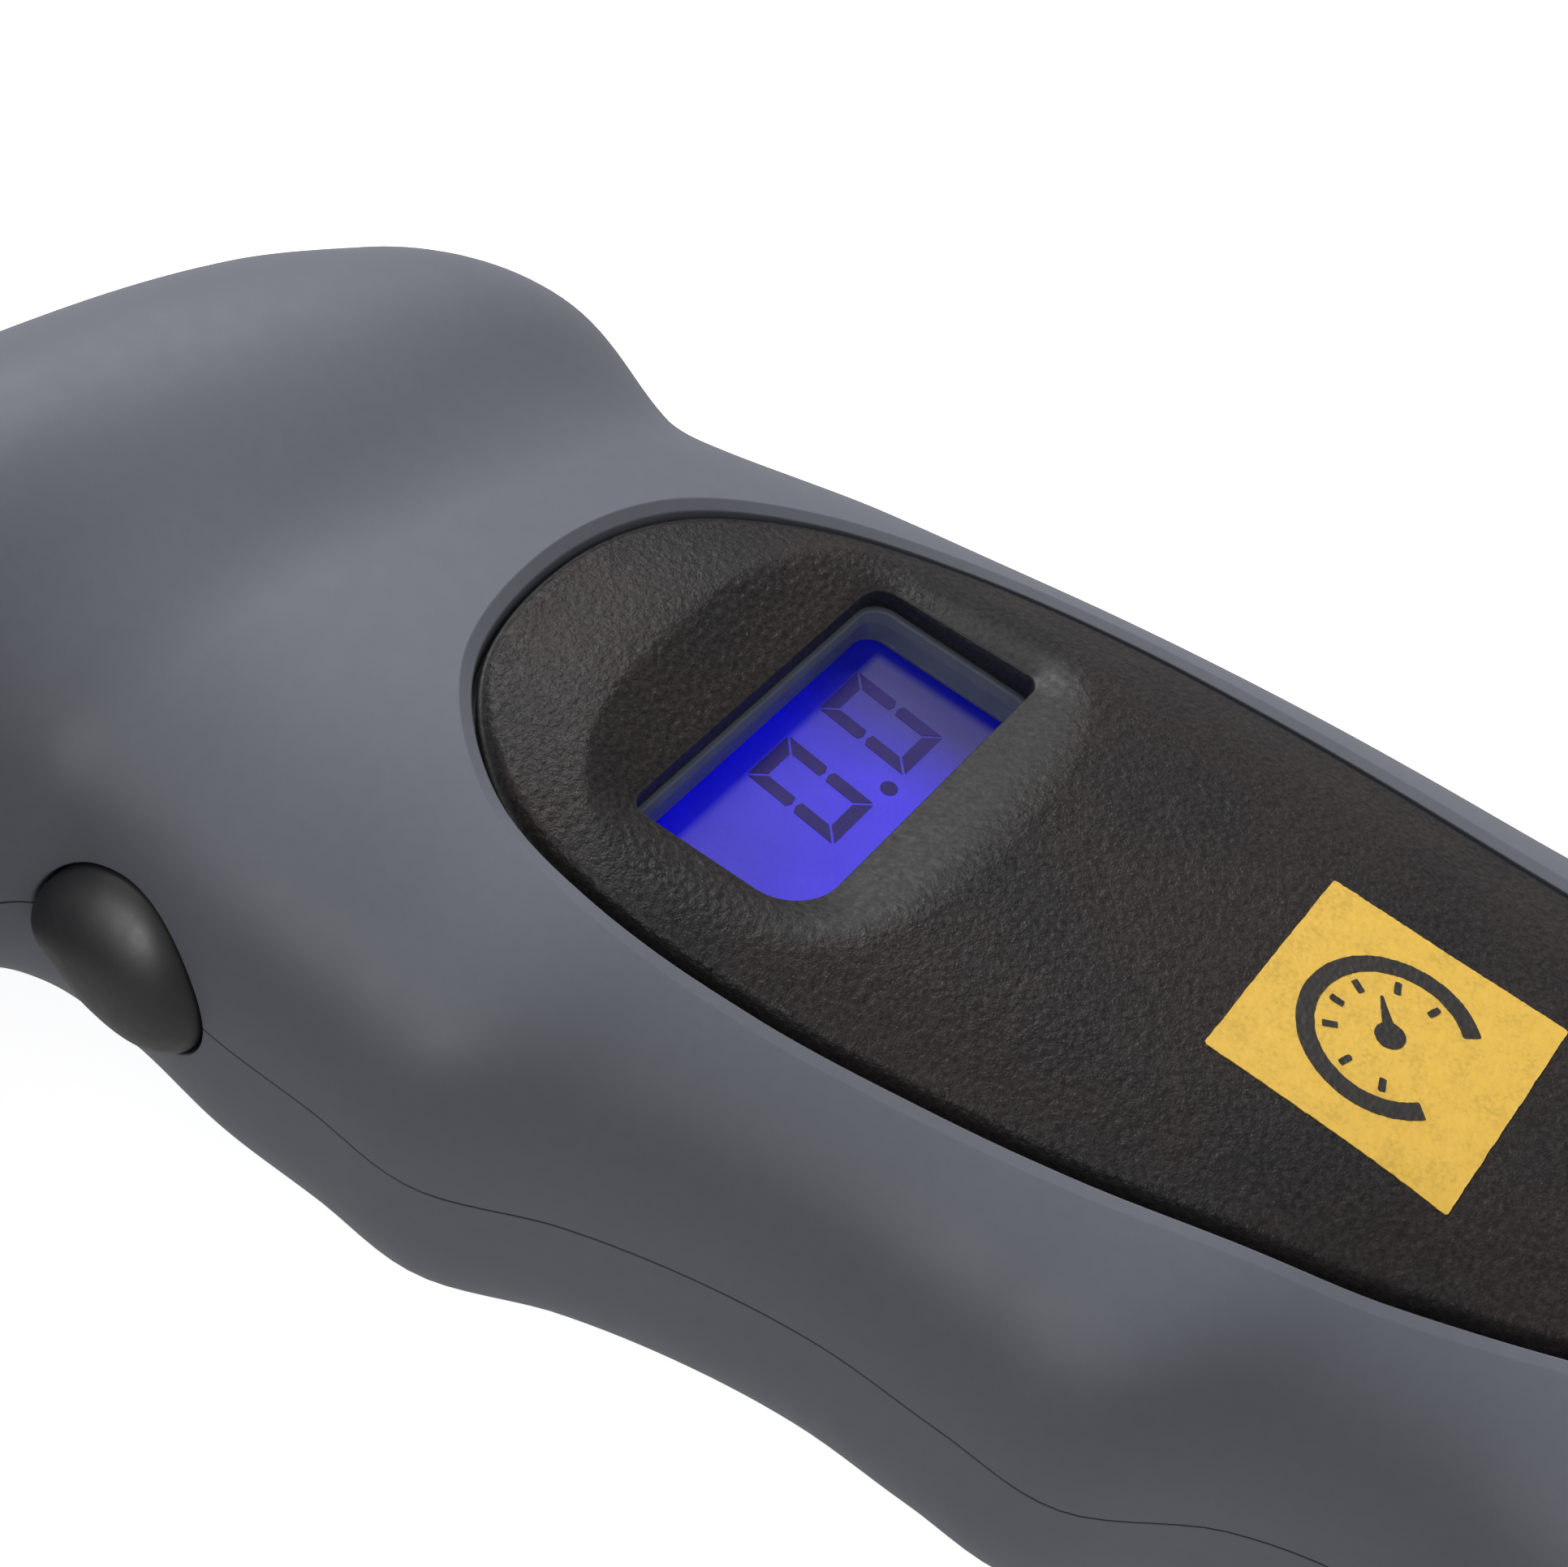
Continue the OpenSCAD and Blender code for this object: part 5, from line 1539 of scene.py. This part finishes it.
# ------------------------------------------------------------------ floor, light, camera
bpy.ops.mesh.primitive_grid_add(x_subdivisions=8, y_subdivisions=8, size=4.0, location=(0, 0, -0.0002))
floor = bpy.context.object
floor.name = "floor"
fm = Mat("floor_pale")
fm.base(fm.ramp(fm.noise(6, 3), [(0.3, (0.90, 0.90, 0.90, 1)), (0.7, (0.94, 0.94, 0.94, 1))]))
fm.rough(fm.maps(fm.noise(20, 2), 0.3, 0.7, 0.7, 0.8))
fm.set(Specular_IOR_Level=0.1)
fm.base(fm.ramp(fm.noise(6, 3), [(0.3, (0.86, 0.86, 0.86, 1)), (0.7, (0.90, 0.90, 0.90, 1))]))
fm.link(fm.ramp(fm.noise(5, 2), [(0.3, (0.98, 0.98, 0.98, 1)), (0.7, (1, 1, 1, 1))]), fm.p.inputs["Emission Color"])
fm.set(Emission_Strength=0.85)
paint(floor, fm)
floor.visible_diffuse = False
floor.visible_glossy = False
floor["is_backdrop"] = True

world = bpy.data.worlds.new("world")
bpy.context.scene.world = world
world.use_nodes = True
wt = world.node_tree
bg = wt.nodes["Background"]
wg = wt.nodes.new("ShaderNodeTexCoord")
ws = wt.nodes.new("ShaderNodeSeparateXYZ")
wr = wt.nodes.new("ShaderNodeValToRGB")
wm = wt.nodes.new("ShaderNodeMapRange")
wt.links.new(wg.outputs["Generated"], ws.inputs[0])
wt.links.new(ws.outputs[2], wm.inputs["Value"])
wm.inputs["From Min"].default_value = -1.0
wt.links.new(wm.outputs["Result"], wr.inputs["Fac"])
for e, (q, v) in zip((wr.color_ramp.elements[0], wr.color_ramp.elements[1]), ((0.42, 1.55), (0.60, 1.0))):
    e.position, e.color = q, (v, v, v, 1)
wt.links.new(wr.outputs["Color"], bg.inputs[0])
bg.inputs[1].default_value = 0.33
pale = wt.nodes.new("ShaderNodeBackground")
pale.inputs[0].default_value = (0.93, 0.93, 0.94, 1)
path = wt.nodes.new("ShaderNodeLightPath")
wx = wt.nodes.new("ShaderNodeMixShader")
wt.links.new(path.outputs["Is Camera Ray"], wx.inputs[0])
wt.links.new(bg.outputs[0], wx.inputs[1])
wt.links.new(pale.outputs[0], wx.inputs[2])
wt.links.new(wx.outputs[0], wt.nodes["World Output"].inputs[0])


def area(name, size, power, loc, aim, size_y=None):
    d = bpy.data.lights.new(name, "AREA")
    d.energy = power
    d.size = size
    if size_y:
        d.shape, d.size_y = "RECTANGLE", size_y
    o = bpy.data.objects.new(name, d)
    bpy.context.scene.collection.objects.link(o)
    o.location = loc
    o.rotation_mode = "QUATERNION"
    o.rotation_quaternion = (Vector(aim) - Vector(loc)).to_track_quat("-Z", "Y")
    return o


key = area("key_soft", 0.5, 7.6, (-0.62, 0.36, 0.68), (0, 0, 0.01))
gloss = area("gloss_soft", 0.30, 4.0, (-0.20, -0.62, 0.42), (-0.045, -0.01, 0.012))
gloss.visible_diffuse = False
area("fill_soft", 0.8, 0.35, (0.5, -0.5, 0.7), (0, 0, 0.01))

Rm = np.array([[0.7908930388, 0.5865615665, 0.1744526581],
               [0.5459063096, -0.5474320136, -0.6342747762],
               [-0.2765402364, 0.5968783119, -0.7531678288]])
cd = bpy.data.cameras.new("camera")
cam = bpy.data.objects.new("camera", cd)
bpy.context.scene.collection.objects.link(cam)
cd.sensor_width = 36.0
cd.lens = 3085.592 / 1932 * 36.0
cd.clip_start, cd.clip_end = 0.005, 20
cx = (np.array([2.826, -64.281, 72.881]) - ORG) / 1000.0
M = Matrix.Identity(4)
for i in range(3):
    M[i][0], M[i][1], M[i][2], M[i][3] = Rm[0][i], -Rm[1][i], -Rm[2][i], cx[i]
cam.matrix_world = M
bpy.context.scene.camera = cam
bpy.context.scene.view_settings.view_transform = "Standard"
bpy.context.scene.view_settings.look = "None"

bpy.context.view_layer.update()
vis_lo, vis_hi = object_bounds()
({"cad": [[float(v) for v in cad_lo], [float(v) for v in cad_hi]],
           "visual": [[float(v) for v in vis_lo], [float(v) for v in vis_hi]]})
